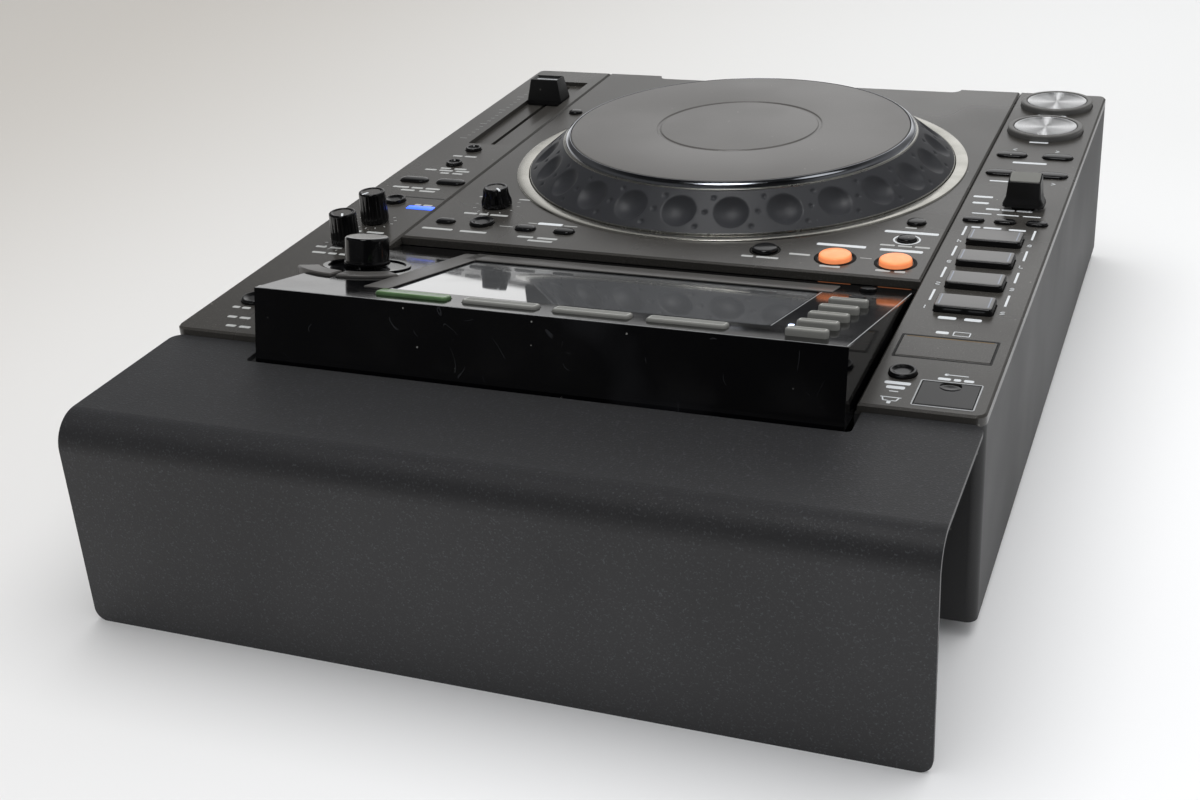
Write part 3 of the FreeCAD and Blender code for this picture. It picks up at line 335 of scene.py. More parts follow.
def scratch_group():
    """Hair scratches: thin level lines of a slow noise, broken up by a second noise"""
    tree, given, result = new_group("Hair scratches", {"Scale": 34.0, "Width": 0.0022}, ["Mask"])
    lines = []
    for shift, stretch in ((0.0, 1.0), (3.7, 1.7)):
        place = add_node(tree, "Mapping", {
            "Vector": given["Vector"], "Location": (shift, shift * 2, shift),
            "Rotation": (shift, shift / 2, 0), "Scale": (1.0, 0.3 * stretch, 1.0)})["Vector"]
        level = noise(tree, place, given["Scale"], 1.0, 0.6)
        off = math_node(tree, "ABSOLUTE", math_node(tree, "SUBTRACT", level, 0.5))
        line = math_node(tree, "LESS_THAN", off, given["Width"])
        broken = ranged(tree, noise(tree, place, 110.0, 1.0), 0.6, 0.66)
        lines.append(times(tree, line, broken))
    link(tree, math_node(tree, "MAXIMUM", *lines), result["Mask"])
    return tree


def turned_group():
    """Lathe marks: waves in the distance from the axis that the piece is turned about"""
    tree, given, result = new_group("Turned marks", {"Pitch": 0.0005}, ["Height"])
    flat = add_node(tree, "VectorMath", {0: given["Vector"], 1: (1.0, 1.0, 0.0)}, operation="MULTIPLY")
    radius = add_node(tree, "VectorMath", {0: flat["Vector"]}, operation="LENGTH")["Value"]
    count = math_node(tree, "DIVIDE", radius, given["Pitch"])
    marks = add_node(tree, "TexNoise", {"W": count, "Scale": 1.0}, noise_dimensions="1D")
    link(tree, marks["Fac"], result["Height"])
    return tree


# Finishes


class Finish:
    """A material being built: its tree, its Principled shader's inputs, its tint and its coordinates"""

    def __init__(self, name, colour, roughness, metallic=0.0, **constants):
        self.material = bpy.data.materials.new(name)
        self.material.use_nodes = True
        self.tree = self.material.node_tree
        self.inputs = self.tree.nodes["Principled BSDF"].inputs
        self.tint = (*(linear(colour) if isinstance(colour, str) else colour), 1.0)
        self.place = add_node(self.tree, "TexCoord")["Object"]
        constants.update(Base_Color=self.tint, Roughness=roughness, Metallic=metallic)
        for label, value in constants.items():
            link(self.tree, value, self.inputs[label.replace("_", " ")])

    def effect(self, group, **values):
        """What a shared node group gives at the material's coordinates"""
        inputs = {label.replace("_", " "): value for label, value in values.items()}
        return add_node(self.tree, "Group", {"Vector": self.place, **inputs}, node_tree=GROUPS[group])

    def mix(self, mask, colour, share=1.0):
        """Blend a second colour in by a mask"""
        factor = math_node(self.tree, "MULTIPLY", mask, share, clamp=True)
        inputs = {"Factor": factor, "A": self.tint, "B": (*linear(colour), 1.0)}
        self.tint = add_node(self.tree, "Mix", inputs, data_type="RGBA")["Result"]
        link(self.tree, self.tint, self.inputs["Base Color"])
        return self

    def rough(self, mask, smooth, dull):
        """Roughness from smooth to dull by a mask"""
        link(self.tree, ranged(self.tree, mask, 0.0, 1.0, smooth, dull), self.inputs["Roughness"])
        return self

    def bump(self, height, depth):
        """Relief of a depth in millimetres"""
        relief = add_node(self.tree, "Bump", {"Strength": 1.0, "Distance": depth * MM, "Height": height})
        link(self.tree, relief["Normal"], self.inputs["Normal"])


GROUPS = {}
FINISHES = {}


def make_groups():
    """Every shared node group, by a plain name"""
    GROUPS.update(grain=grain_group(), dust=dust_group(), scratches=scratch_group(), turned=turned_group())


def grained(name, colour, roughness, light, dark, depth=0.02, scale=1800.0, dust=0.12, dust_colour="9a9890",
            **constants):
    """Moulded plastic or painted sheet: grain relief, patches of tone, a few specks of dust"""
    finish = Finish(name, colour, roughness, **constants)
    grain = finish.effect("grain", Scale=scale)
    finish.mix(grain["Patch"], dark, 0.3).mix(grain["Speckle"], light, 0.3)
    if dust:
        finish.mix(finish.effect("dust", Share=dust)["Mask"], dust_colour, 0.6)
    finish.rough(grain["Patch"], roughness, min(roughness + 0.08, 1.0)).bump(grain["Height"], depth)
    return finish.material


def glossy(name, colour, roughness=0.06, scratches=0.0022, dust=0.2, worn="3c3d40", smear=0.0, **constants):
    """Polished plastic or glass: hair scratches, dust, a faint haze and wiped smears"""
    finish = Finish(name, colour, roughness, **constants)
    marks = finish.effect("scratches", Width=scratches)["Mask"]
    specks = finish.effect("dust", Scale=330.0, Share=dust / 2)["Mask"]
    finish.mix(marks, worn, 0.35).mix(specks, "b4b4ae", 0.5)
    if smear:
        wiped = finish.effect("grain", Patch_scale=12.0)["Patch"]
        finish.mix(ranged(finish.tree, wiped, 0.8, 1.0), worn, smear)
    haze = finish.effect("grain", Patch_scale=30.0)["Patch"]
    finish.rough(math_node(finish.tree, "MAXIMUM", haze, marks), roughness, roughness + 0.07)
    return finish.material


def metal(name, colour, roughness, smudge, dust=0.2):
    """Bright plated or anodised metal: smudges in its tone and roughness, and a little dust"""
    finish = Finish(name, colour, roughness, 1.0)
    grain = finish.effect("grain", Scale=900.0, Patch_scale=55.0)
    finish.mix(grain["Patch"], smudge, 0.6).mix(finish.effect("dust", Share=dust)["Mask"], "55544f", 0.5)
    finish.rough(grain["Patch"], roughness, roughness + 0.08).bump(grain["Height"], 0.002)
    return finish.material


def turned_metal(name, colour, roughness, centre):
    """Lathe-turned aluminium about an upright axis: highlights stretch across the turned lines"""
    finish = Finish(name, colour, roughness, 1.0, Anisotropic=1.0, Anisotropic_Rotation=0.25, Coat_Weight=0.7,
                    Coat_Roughness=0.25)
    axis = {"Vector": finish.place, "Location": (-centre[0] * MM, -centre[1] * MM, 0.0)}
    finish.place = add_node(finish.tree, "Mapping", axis)["Vector"]
    tangent = add_node(finish.tree, "Tangent", direction_type="UV_MAP")["Tangent"]
    link(finish.tree, tangent, finish.inputs["Tangent"])
    marks = finish.effect("turned", Pitch=0.0004)["Height"]
    finish.mix(marks, "9a9b9e", 0.5).bump(marks, 0.003)
    return finish.material


def lit(name, colour, glow, strength):
    """Translucent key with a lamp behind it: bright, with a soft cloud in its tone"""
    finish = Finish(name, colour, 0.3, Emission_Strength=strength, Coat_Weight=0.3)
    cloud = finish.effect("grain", Patch_scale=260.0)["Patch"]
    finish.mix(cloud, glow, 0.5)
    link(finish.tree, (*linear(glow), 1.0), finish.inputs["Emission Color"])
    return finish.material


def make_finishes(colours):
    """Every finish of the deck, by a plain name"""
    panel, cover, wheel = colours.panel, colours.cover, colours.wheel
    FINISHES.update(
        panel=grained("Panel grey", panel, 0.24, "6b6a66", "232220", 0.005, 2200.0, 0.16),
        cover=grained("Cover powder coat", cover, 0.5, "5c5e63", "171718", 0.09, 1400.0, 0.04, "66666a",
                      Sheen_Weight=0.1),
        case=grained("Case plastic", "161617", 0.5, "343436", "0c0c0d", 0.02),
        housing=glossy("Housing gloss", "040405", 0.05, 0.0014, 0.22, smear=0.12, Specular_IOR_Level=0.36),
        # The screen's mid-grey base colour, lighter than an unlit screen, is partly painted reflection
        glass=glossy("Screen glass", "5e5f60", 0.03, 0.0012, 0.3, "7a7d80", Coat_Weight=1.0),
        trim=grained("Screen trim", "4a4846", 0.32, "6d6b66", "2c2b29", 0.006),
        sockets=grained("Socket plate", "1b1b1c", 0.45, "3a3a3c", "101011", 0.015),
        drive=grained("Drive chassis", "2a2a2c", 0.4, "4a4a4d", "161617", 0.01, dust=0.0),
        door=grained("Door plastic", "1c1c1d", 0.26, "343436", "101011", 0.004, dust=0.2),
        rubber=grained("Foot rubber", "131313", 0.75, "222222", "0a0a0a", 0.04),
        wheel=grained("Wheel graphite", wheel, 0.4, "44454a", "1b1b1d", 0.004, 2600.0, 0.3, "4e4f53"),
        plate=grained("Plate grey", "565452", 0.3, "72706c", "474543", 0.003, 3000.0, 0.14),
        pearl=metal("Ring silver", "c9c7bf", 0.18, "b6b4ac", 0.05),
        chrome=metal("Bezel chrome", "a9acb2", 0.05, "8a8d94", 0.1),
        satin=metal("Lip satin", "b9b8b2", 0.25, "96958f"),
        key_black=glossy("Key black", "0b0b0c", 0.12, 0.0016, 0.3),
        key_pad=grained("Pad rubber", "6b6a69", 0.3, "6a6a69", "363534", 0.006, dust=0.3),
        key_bar=glossy("Key smoke grey", "747470", 0.4, 0.002, 0.3, "92928b", Specular_IOR_Level=0.12),
        pad_line=grained("Pad line", "8d93a0", 0.3, "a9afba", "6d727c", 0.004, dust=0.0),
        # Near-black with little specular: painted shade of the recess round the loop keys
        collar=grained("Key collar", "060606", 0.5, "141414", "030303", 0.004, dust=0.1,
                       Specular_IOR_Level=0.15),
        # Light rim on the grey display keys: painted edge highlight
        key_rim=glossy("Key rim", "b9bab4", 0.3, 0.002, 0.3, "d0d0ca"),
        key_green=lit("Key green", "3d5634", "52704a", 0.03),
        # Brighter, more glowing rim on the green key: painted edge highlight
        green_rim=lit("Key green rim", "7b9a69", "8fae7c", 0.06),
        key_orange=lit("Key orange", "f08048", "ff9d68", 0.45),
        key_ring=glossy("Key ring smoke", "4f4e4c", 0.3, 0.0016, 0.2),
        lamp=lit("Lamp blue", "2c5cff", "3f6cff", 1.1),
        spark=lit("Lamp white", "cfdcff", "d3e0ff", 2.0),
        knob=glossy("Knob gloss", "060607", 0.09, 0.0014, 0.25),
        # Grey tops of the gloss black knobs: painted sheen of the light on their tops
        knob_top=grained("Knob top", "3f3d3b", 0.2, "63615e", "2b2a28", 0.004),
        slider=grained("Slider black", "0b0b0c", 0.34, "1d1d1e", "060606", 0.01, dust=0.1),
        ink=grained("Print ink", "cfd2d4", 0.5, "e2e4e5", "a8acae", 0.004, dust=0.0),
        ink_dim=grained("Print ink, dim", "a9aaa8", 0.5, "bcbdbb", "868785", 0.004, dust=0.0),
        # Near-black line: also the painted shade in the gap round the card door
        dark_line=grained("Dark line", "0b0b0b", 0.5, "181818", "060606", 0.004, dust=0.0),
        # Light grey: the USB door's frame line, and painted edge highlights along the display housing
        frame_line=grained("Door frame line", "9ea0a1", 0.3, "c0c2c3", "777879", 0.004, dust=0.1),
        brass=metal("Door catch line", "8a6d3c", 0.3, "6d5733"),
    )


def dress(finish, *nodes):
    """Give CAD nodes a finish"""
    for node in nodes:
        mesh = frame["nodes"][node].data
        mesh.materials.clear()
        mesh.materials.append(FINISHES[finish])


# Properties


class DeckColours(bpy.types.PropertyGroup):
    """Colours that a builder may set"""
    panel: bpy.props.FloatVectorProperty(
        name="Panels", description="Colour of the top panels", subtype="COLOR", size=3, min=0, max=1,
        default=linear("383633"))
    cover: bpy.props.FloatVectorProperty(
        name="Cover", description="Colour of the sheet cover at the rear", subtype="COLOR", size=3, min=0,
        max=1, default=linear("1c1c1e"))
    wheel: bpy.props.FloatVectorProperty(
        name="Wheel", description="Colour of the jog wheel's slope", subtype="COLOR", size=3, min=0, max=1,
        default=linear("2b2c2f"))


class DeckSizes(bpy.types.PropertyGroup):
    """Small sizes that the CAD leaves open"""
    dimple_depth: bpy.props.FloatProperty(
        name="Finger dimple", description="Depth of the wheel's large dimples in millimetres", default=2.6,
        min=0.1, max=3.0)
    speck_depth: bpy.props.FloatProperty(
        name="Small dimple", description="Depth of the wheel's small dimples in millimetres", default=0.55,
        min=0.0, max=1.0)
    key_round: bpy.props.FloatProperty(
        name="Key edge", description="Rounding of the small keys' upper edge in millimetres", default=0.55,
        min=0.1, max=1.0)
    print_height: bpy.props.FloatProperty(
        name="Print height", description="Height of the printed marks over the panel in millimetres",
        default=0.03, min=0.01, max=0.2)


class DeckStudio(bpy.types.PropertyGroup):
    """Levels of the studio's light"""
    overhead: bpy.props.FloatProperty(
        name="Overhead light", description="Power of the large soft light over the deck", default=20.0,
        min=0.0, unit="POWER")
    room: bpy.props.FloatProperty(
        name="Room light", description="Level of the light from all around", default=0.8, min=0.0, max=2.0)


# Pieces


def dial_measures():
    """Radii of the dial's slope at its foot and crown, and the z of the foot, the crown and the top"""
    _, size, _, top = plan("jog_dial")
    radius, foot = size[0] / 2, PANEL_TOP + DIAL_SKIRT
    return radius, radius - CONE_WIDTH, foot, foot + CONE_HEIGHT, top


def dial_rings(sizes):
    """The dial: a section carried round the axis. On the slope each point is pushed in along the
    slope's normal by a sphere cap under every dimple centre, sqrt(R^2 - d^2) - (R - depth), and by
    a cosine bowl, depth (1 + cos(pi d / r)) / 2, under three small dimples in every interval"""
    radius, inner, foot, crown, top = dial_measures()
    slope = math.hypot(CONE_WIDTH, CONE_HEIGHT)
    out, up = CONE_HEIGHT / slope, CONE_WIDTH / slope
    steps = np.linspace(0, 1, CONE_ROWS)
    cone = np.stack([radius - CONE_WIDTH * steps, foot + CONE_HEIGHT * steps], -1)
    below = [(4.0, foot - 2.5), (radius - 5.0, foot - 2.5), (radius - 5.0, PANEL_TOP - 3.0),
             (radius - 0.3, PANEL_TOP - 3.0), (radius, PANEL_TOP - 2.7), (radius, foot - 0.1)]
    above = [(inner - 0.3, crown), (inner - BEZEL_WIDTH + GAP, crown), (inner - BEZEL_WIDTH + GAP, top - 3.2),
             (4.0, top - 3.2)]
    rings = lathe(np.concatenate([below, cone, above]), JOG_CENTRE, DIMPLE_COUNT * DIMPLE_STEPS)

    angle = np.linspace(0, 2 * np.pi, rings.shape[1], endpoint=False)[None, :]
    pitch = 2 * np.pi / DIMPLE_COUNT
    along = ((steps - 0.5) * slope)[:, None]
    round_radius = (radius - CONE_WIDTH * steps)[:, None]

    def distance(turn, height):
        """From a point of the slope to the nearest centre at a share of the interval and a height"""
        off = (angle - turn * pitch + pitch / 2) % pitch - pitch / 2
        return np.hypot(off * round_radius, along - height)

    ball = (DIMPLE_DIAMETER ** 2 / 4 + sizes.dimple_depth ** 2) / (2 * sizes.dimple_depth)
    cap = np.sqrt(np.clip(ball ** 2 - distance(0.25, 0.0) ** 2, 0, None)) - (ball - sizes.dimple_depth)
    push = (cap + np.sqrt(cap ** 2 + RIM_SOFTNESS)) / 2
    for height, turn in SPECKS:
        near = np.clip(distance(0.75 + turn, height * slope) / SPECK_RADIUS, 0, 1)
        push = push + sizes.speck_depth * (1 + np.cos(np.pi * near)) / 2
    rows = slice(len(below), len(below) + len(cone))
    rings[rows, :, 0] -= push * out * np.cos(angle)
    rings[rows, :, 1] -= push * out * np.sin(angle)
    rings[rows, :, 2] -= push * up
    return rings


def make_jog_wheel(sizes):
    """The dial with its bead, bezel and lip, the touch plate, and the ring round them"""
    radius, inner, foot, crown, top = dial_measures()
    edge = inner - BEZEL_WIDTH + GAP
    piece("dial_cone", [dial_rings(sizes)], "wheel", "jog_dial", ["jog_dial"], sharp=60)
    bead = rounded([(inner - 1.3, crown - 0.4), (inner + 0.12, crown - 0.5), (inner + 0.1, crown + 0.35),
                    (inner - 0.9, crown + 0.75), (inner - 1.3, crown + 0.3), (inner - 1.3, crown - 0.4)],
                   [0.15, 0.4, 0.3, 0.2])
    bezel = rounded([(edge, crown - 0.2), (inner - 0.9, crown - 0.2), (inner - 0.9, crown + 0.5),
                     (inner - 1.3, crown + 1.9), (edge + 0.35, top), (edge, top - 0.15), (edge, crown - 0.2)],
                    [0.1, 0.1, 1.6, 0.5, 0.1])
    lip = rounded([(radius - 0.5, foot - 0.9), (radius + 0.1, foot - 0.9), (radius + 0.25, foot - 0.3),
                   (radius - 0.05, foot + 0.25), (radius - 0.5, foot - 0.1), (radius - 0.5, foot - 0.9)], 0.2)
    for name, section, finish in (("bead", bead, "satin"), ("bezel", bezel, "chrome"), ("lip", lip, "satin")):
        rings = lathe(section[:-1], JOG_CENTRE, 360)
        piece("dial_" + name, [rings], finish, "jog_dial", loop=True)

    _, size, bottom, top = plan("jog_top_plate")
    rim = size[0] / 2
    groove = [(GROOVE_RADIUS + 0.7, top), (GROOVE_RADIUS + 0.2, top - 0.5), (GROOVE_RADIUS - 1.0, top - 0.5),
              (GROOVE_RADIUS - 1.5, top)]
    plate = rounded([(2.0, bottom), (rim, bottom), (rim, top), *groove, (2.0, top)],
                    [0.3, 0.6, 0.2, 0.1, 0.1, 0.2])
    rings = lathe(plate, JOG_CENTRE, 240)
    piece("touch_plate", [rings], "plate", "jog_top_plate", ["jog_top_plate"])

    _, size, bottom, top = plan("jog_ring")
    outer = size[0] / 2
    width = outer - radius - 0.5
    inside = outer - width
    ring = rounded([(inside, bottom), (inside + 1.4, bottom), (inside + 1.5, PANEL_TOP - 0.02),
                    (outer, PANEL_TOP - 0.02), (outer - 0.3, top - 0.25), (outer - 0.4 * width, top),
                    (inside, top - 0.35), (inside, bottom)], [0.1, 0.05, 0.1, 0.3, 1.6, 0.3])
    rings = lathe(ring[:-1], JOG_CENTRE, 300)
    piece("rim_ring", [rings], "pearl", replaces=["jog_ring"], loop=True)


def key_section(foot, top, bevel, crown, reach):
    """Section of a key as (inset, z): straight side, rounded edge, domed top or a rim round a dish"""
    if crown > 0:
        dome = [(reach * 0.45, top + crown * 0.8), (reach, top + crown)]
        return rounded([(0, foot), (0, top - 0.001), *dome], [bevel, 1.2], 7)
    dish = [(1.0, top), (reach * 0.5, top + crown), (reach, top + crown)]
    return rounded([(0, foot), (0, top), *dish], [bevel, 0.2, 0.6], 6)


def deck_key(name, finish, bevel, crown, centres=None, size=None, rise=None):
    """Key or keys of one node on the deck; rise is its top over the panel, where it isn't the node's"""
    centre, (width, depth), low, high = plan(name)
    width, depth = size or (width - 2 * (GAP + KEY_LUG), depth)
    radius = min(width, depth) / 2 if abs(width - depth) < 0.1 or depth < 9 else 1.6
    top = (high if rise is None else PANEL_TOP + rise) - max(crown, 0.0)
    section = key_section(low, top, bevel, crown, min(width, depth) / 2 - 0.3)
    surfaces = [stacked(width, depth, radius, section, c) for c in centres or [centre]]
    piece(name + "_cap", surfaces, finish, name, [name])


def make_small_keys(sizes):
    """Black keys of the panels, single and on carriers, and the pads with their two lines"""
    for name in SINGLE_KEYS:
        deck_key(name, "key_black", sizes.key_round, -0.8 if name in DISHED_KEYS else 0.55)
    for name, (count, axis, size) in KEY_SETS.items():
        lo, hi = node_box(name)
        margin = size[axis] / 2 + (GAP + KEY_LUG) * (axis == 0)
        other = (lo[1 - axis] + hi[1 - axis]) / 2
        centres = [(s, other) if axis == 0 else (other, s)
                   for s in np.linspace(lo[axis] + margin, hi[axis] - margin, count)]
        deck_key(name, "key_black", sizes.key_round, 0.45, centres, size)
    for name in ("hot_cue_pad_%d" % i for i in (1, 2, 3, 4)):
        centre, (width, depth), _, high = plan(name)
        width -= 2 * (GAP + KEY_LUG)
        deck_key(name, "key_black", 0.9, 0.01, rise=PAD_RISE)
        top = rounded([(0.5, high - 0.9), (0.5, high - 0.1), (1.5, high - 0.06)], 0.3)
        piece(name + "_top", [stacked(width, depth, 1.6, top, centre)], "key_pad", name)
        thin, inset = PAD_LINE
        lines = [stacked(thin, depth - 3.0, 0.15, [(0, high - 0.3), (0, high)], centre + [x, 0], 3)
                 for x in (inset - width / 2, width / 2 - inset)]
        piece(name + "_lines", lines, "pad_line", name)


def make_loop_keys():
    """The lit loop keys and the exit key, each inside a fixed black collar on the panel whose near-black is
    painted shade of the recess round the key
    """
    for name, colour, wide in (("loop_in_button", "orange", 2.0), ("loop_out_button", "orange", 2.0),
                               ("reloop_button", "black", 1.1)):
        deck_key(name, "key_" + colour, 1.0, 0.3)
        centre, size, _, _ = plan(name)
        inner, outer = size[1] / 2 + GAP, size[1] / 2 + wide
        collar = rounded([(inner, PANEL_TOP - 0.6), (inner + 0.5, PANEL_TOP - 0.6), (outer, PANEL_TOP - 0.02),
                          (outer, PANEL_TOP + 0.2), (inner + 0.7, PANEL_TOP + 0.28), (inner, PANEL_TOP - 0.1),
                          (inner, PANEL_TOP - 0.6)], 0.15)
        # The collar's near-black finish is painted shade of the recess round the key
        piece(name + "_collar", [lathe(collar[:-1], centre, 72)], "collar", loop=True)


def uv_round(obj, centre):
    """UV map of a turned piece: u is the angle about its axis, v the distance from it"""
    mesh = obj.data
    layer = mesh.uv_layers.new(name="Turned")
    co = np.empty(len(mesh.vertices) * 3)
    mesh.vertices.foreach_get("co", co)
    index = np.empty(len(mesh.loops), int)
    mesh.loops.foreach_get("vertex_index", index)
    off = co.reshape(-1, 3)[index, :2] - np.asarray(centre) * MM
    angle = np.arctan2(off[:, 1], off[:, 0]) / (2 * np.pi)
    face = np.repeat(np.arange(len(mesh.polygons)), [p.loop_total for p in mesh.polygons])
    first = angle[np.searchsorted(face, np.arange(len(mesh.polygons)))][face]
    angle = angle + (first - angle > 0.5) - (angle - first > 0.5)
    layer.data.foreach_set("uv", np.stack([angle, np.hypot(*off.T) * UV_SCALE], -1).ravel())


def make_cue_and_play():
    """The two large keys: a smoke ring round a dished disc of turned aluminium"""
    for name in ("cue_button", "play_button"):
        centre, size, low, top = plan(name)
        radius = size[1] / 2
        disc = radius - DISC_INSET
        collar = rounded([(0.3, low), (radius, low), (radius, top - 0.2), (disc + 0.5, top),
                          (disc, top - 0.9), (0.3, top - 1.0)], [0.3, 0.9, 0.25, 0.1])
        piece(name + "_ring", [lathe(collar, centre, 144)], "key_ring", name, [name])
        face = rounded([(0.3, top - 1.0), (disc - 0.1, top - 1.0), (disc - 0.1, top - 0.25),
                        (disc - 1.2, top - 0.12), (disc - 2.6, top - 0.55), (disc * 0.5, top - 0.8),
                        (0.02, top - 0.86)], [0.1, 0.2, 0.4, 1.5, 3.0])
        FINISHES[name] = turned_metal(name.replace("_", " ") + " metal", "f6f7f8", 0.42, centre)
        uv_round(piece(name + "_disc", [lathe(face, centre, 192)], name, name, sharp=50), centre)


def border(width, depth, line, radius, low, high, centre):
    """Thin frame: a rounded rectangle's edge with a small flat section, closed on itself"""
    return stacked(width, depth, radius, [(line, low), (0, low), (0, high), (line, high)], centre, 5)


def make_display_keys():
    """Bars of smoke-grey plastic with rounded ends and a light rim on top that is a painted edge highlight,
    the green one, the side keys and the arc keys
    """
    keys = [("menu_button_%d" % i, MENU_KEY, 1.1) for i in (1, 2, 3, 4)]
    keys += [("source_button_%d" % i, SOURCE_KEY, 0.9) for i in (1, 2, 3, 4, 5)]
    for name, (width, depth, rise), bevel in keys:
        green, place = name == "menu_button_4", display_place(name)
        finish, rim_finish, slot = (("key_green", "green_rim", "key_green") if green
                                    else ("key_bar", "key_rim", "key_grey"))
        section = key_section(KEY_ROOT, rise - 0.12, bevel, 0.12, depth / 2 - 0.4)
        rings = on_display(stacked(width, depth, 1.7, section, place))
        piece(name + "_cap", [rings], finish, name, [name])
        # Light ring round the top of each bar: painted edge highlight
        rim = on_display(border(width - 1.5, depth - 1.5, 0.3, 1.0, rise - 0.4, rise, place))
        piece(name + "_rim", [rim], rim_finish, name, loop=True)
    name, (width, depth, rise) = "display_side_keys", SIDE_KEY
    x, y = display_place(name)
    half = (plan(name)[1][1] / math.cos(TILT) - depth) / 2
    section = key_section(KEY_ROOT, rise - 0.1, 0.5, 0.1, depth / 2 - 0.3)
    rings = [on_display(stacked(width, depth, depth / 2, section, (x, y + off))) for off in (-half, half)]
    piece(name + "_cap", rings, "key_black", name, [name])
    dress("trim", "back_button", "tag_button")


def knob_section(radius, height, flare):
    """Section of a knob as (r, z): foot, side that narrows by the flare, rounded rim, dished top"""
    top = radius * (1 - flare)
    return rounded([(0.3, 0), (radius, 0), (radius, 2.1), (top + radius * flare * 0.3, height * 0.55),
                    (top, height), (top * 0.77, height), (top * 0.7, height - 0.35), (0.3, height - 0.35)],
                   [0.3, 0.6, 1.0, 0.9, 0.4, 0.4], 6)


def grip(count, depth, start, end):
    """Scale of a knob's radius: 1 - depth w^2 with w = (1 + cos(count a)) / 2, fading at both ends
    of the side"""
    def scale(angle, z):
        wave = 0.5 + 0.5 * np.cos(count * angle)
        return 1 - depth * wave ** 2 * np.clip((z - start) / 0.6, 0, 1) * np.clip((end - z) / 0.8, 0, 1)
    return scale


def pointer(length, start, top):
    """Upright bar that marks a knob's direction: a rounded rectangle ahead of the axis, along +Y"""
    section = [(0, top - 0.4), (0, top + 0.12)]
    return stacked(POINTER_WIDTH, length, POINTER_WIDTH / 2, section, (0, start + length / 2), 4)


def turned_about(rings, angle, centre):
    """Turn about an upright axis, then move to the centre"""
    c, s = math.cos(angle), math.sin(angle)
    x, y, z = np.moveaxis(rings, -1, 0)
    return np.stack([centre[0] + x * c - y * s, centre[1] + x * s + y * c, z], -1)


def make_knobs():
    """Three knobs of the panels and the selector on the display housing, each with a grey top that is painted
    sheen
    """
    for name, (count, depth, aim, flare) in KNOBS.items():
        centre, size, low, top = plan(name)
        radius, foot = size[0] / 2, PANEL_TOP + 0.5
        body = lathe(knob_section(radius / 1.02, top - foot, flare), (0, 0), count * 14,
                     grip(count, depth, 0.7, top - foot - 0.8))
        body[..., 2] += foot
        mark = pointer(radius * 0.55, radius * 0.3, top - 0.1)
        face = radius * (1 - flare) * 0.66
        disc = lathe([(0.3, top - 0.5), (face, top - 0.5), (face, top - 0.32), (0.3, top - 0.3)], centre, 64)
        stem = lathe([(0.3, low), (KNOB_STEM_RADIUS, low), (KNOB_STEM_RADIUS, foot + 0.2), (0.3, foot + 0.2)],
                     centre, 32)
        piece(name + "_body", [turned_about(body, aim, centre)], "knob", name, [name], sharp=50)
        piece(name + "_mark", [turned_about(mark, aim, centre)], "ink", name)
        # Grey disc on the knob's top: painted sheen
        piece(name + "_top", [disc], "knob_top", name)
        piece(name + "_stem", [stem], "case", name)

    name, height = "selector_knob", SELECTOR_HEIGHT
    radius = plan(name)[1][0] / 2
    side = rounded([(0.3, 0), (radius, 0), (radius, 1.0), (radius * 0.97, 1.4), (radius * 0.96, height),
                    (radius * 0.6, height), (0.3, height)], [0.2, 0.4, 0.2, 1.1, 1.0], 6)
    body = lathe(side + (0, SELECTOR_LIFT), SELECTOR_PLACE, SELECTOR_FLUTES * 12,
                 grip(SELECTOR_FLUTES, 0.035, 1.6 + SELECTOR_LIFT, height - 1.2 + SELECTOR_LIFT))
    cap = rounded([(0.3, height + 0.9), (radius * 0.84, height + 0.9), (radius * 0.82, height + 1.1),
                   (0.3, height + 1.18)], 0.1)
    piece(name + "_body", [on_display(body)], "knob", name, [name], sharp=50)
    # Grey cap on the selector's top: painted sheen
    piece(name + "_top", [on_display(lathe(cap, SELECTOR_PLACE, 96))], "knob_top", name)
    dress("case", "selector_stem")


def make_slider_and_lever():
    """Slider cap and direction lever: blocks whose ends slope in, with a rounded finger groove; the lever's
    lighter top cap is painted sheen
    """
    name, slot = "tempo_slider", "slider_black"
    centre, (width, length), low, high = plan(name)
    foot = PANEL_TOP - 1.7
    section = rounded([(0, foot), (0, foot + 2.4), (2.3, high), (3.9, high - 1.1)], [0.4, 0.7], 6)
    line = stacked(width - 8.0, SLIDER_LINE, 0.35, [(0, high - 1.5), (0, high - 1.06)], centre, 4)
    stem = stacked(*SLIDER_STEM, 0.5, [(0, low), (0, foot + 0.5)], centre, 4)
    piece("slider_cap", [stacked(width, length, 1.2, section, centre)], "slider", name, [name])
    piece("slider_line", [line], "ink", name)
    piece("slider_stem", [stem], "case", name)

    name = "direction_lever"
    centre, _, low, high = plan(name)
    foot = PANEL_TOP + 1.5
    side = rounded([(-0.9, foot), (-0.9, foot + 1.2), (0.3, foot + 3.4), (1.1, high - 1.3),
                    (3.4, high - 1.3)], [0.4, 1.0, 0.4], 6)
    cap = rounded([(0, high - 1.4), (0, high - 0.9), (1.4, high - 0.8)], 0.2)
    handle, top = stacked(*LEVER_HANDLE, 1.4, side, centre), stacked(*LEVER_TOP, 0.9, cap, centre, 5)
    for part in (handle, top):
        lift = np.clip((part[..., 2] - foot - 3.4) / (high - foot - 5.0), 0, 1)
        part[..., 2] += LEVER_RAMP * (centre[1] - part[..., 1]) * lift
    stem = stacked(*LEVER_STEM, 0.8, [(0, low), (0, foot + 0.5)], centre, 4)
    piece("lever_handle", [handle], "slider", name, [name])
    # Smoke grey on top of the black lever: painted sheen of the light on its top
    piece("lever_top", [top], "key_bar", name)
    piece("lever_stem", [stem], "case", name)


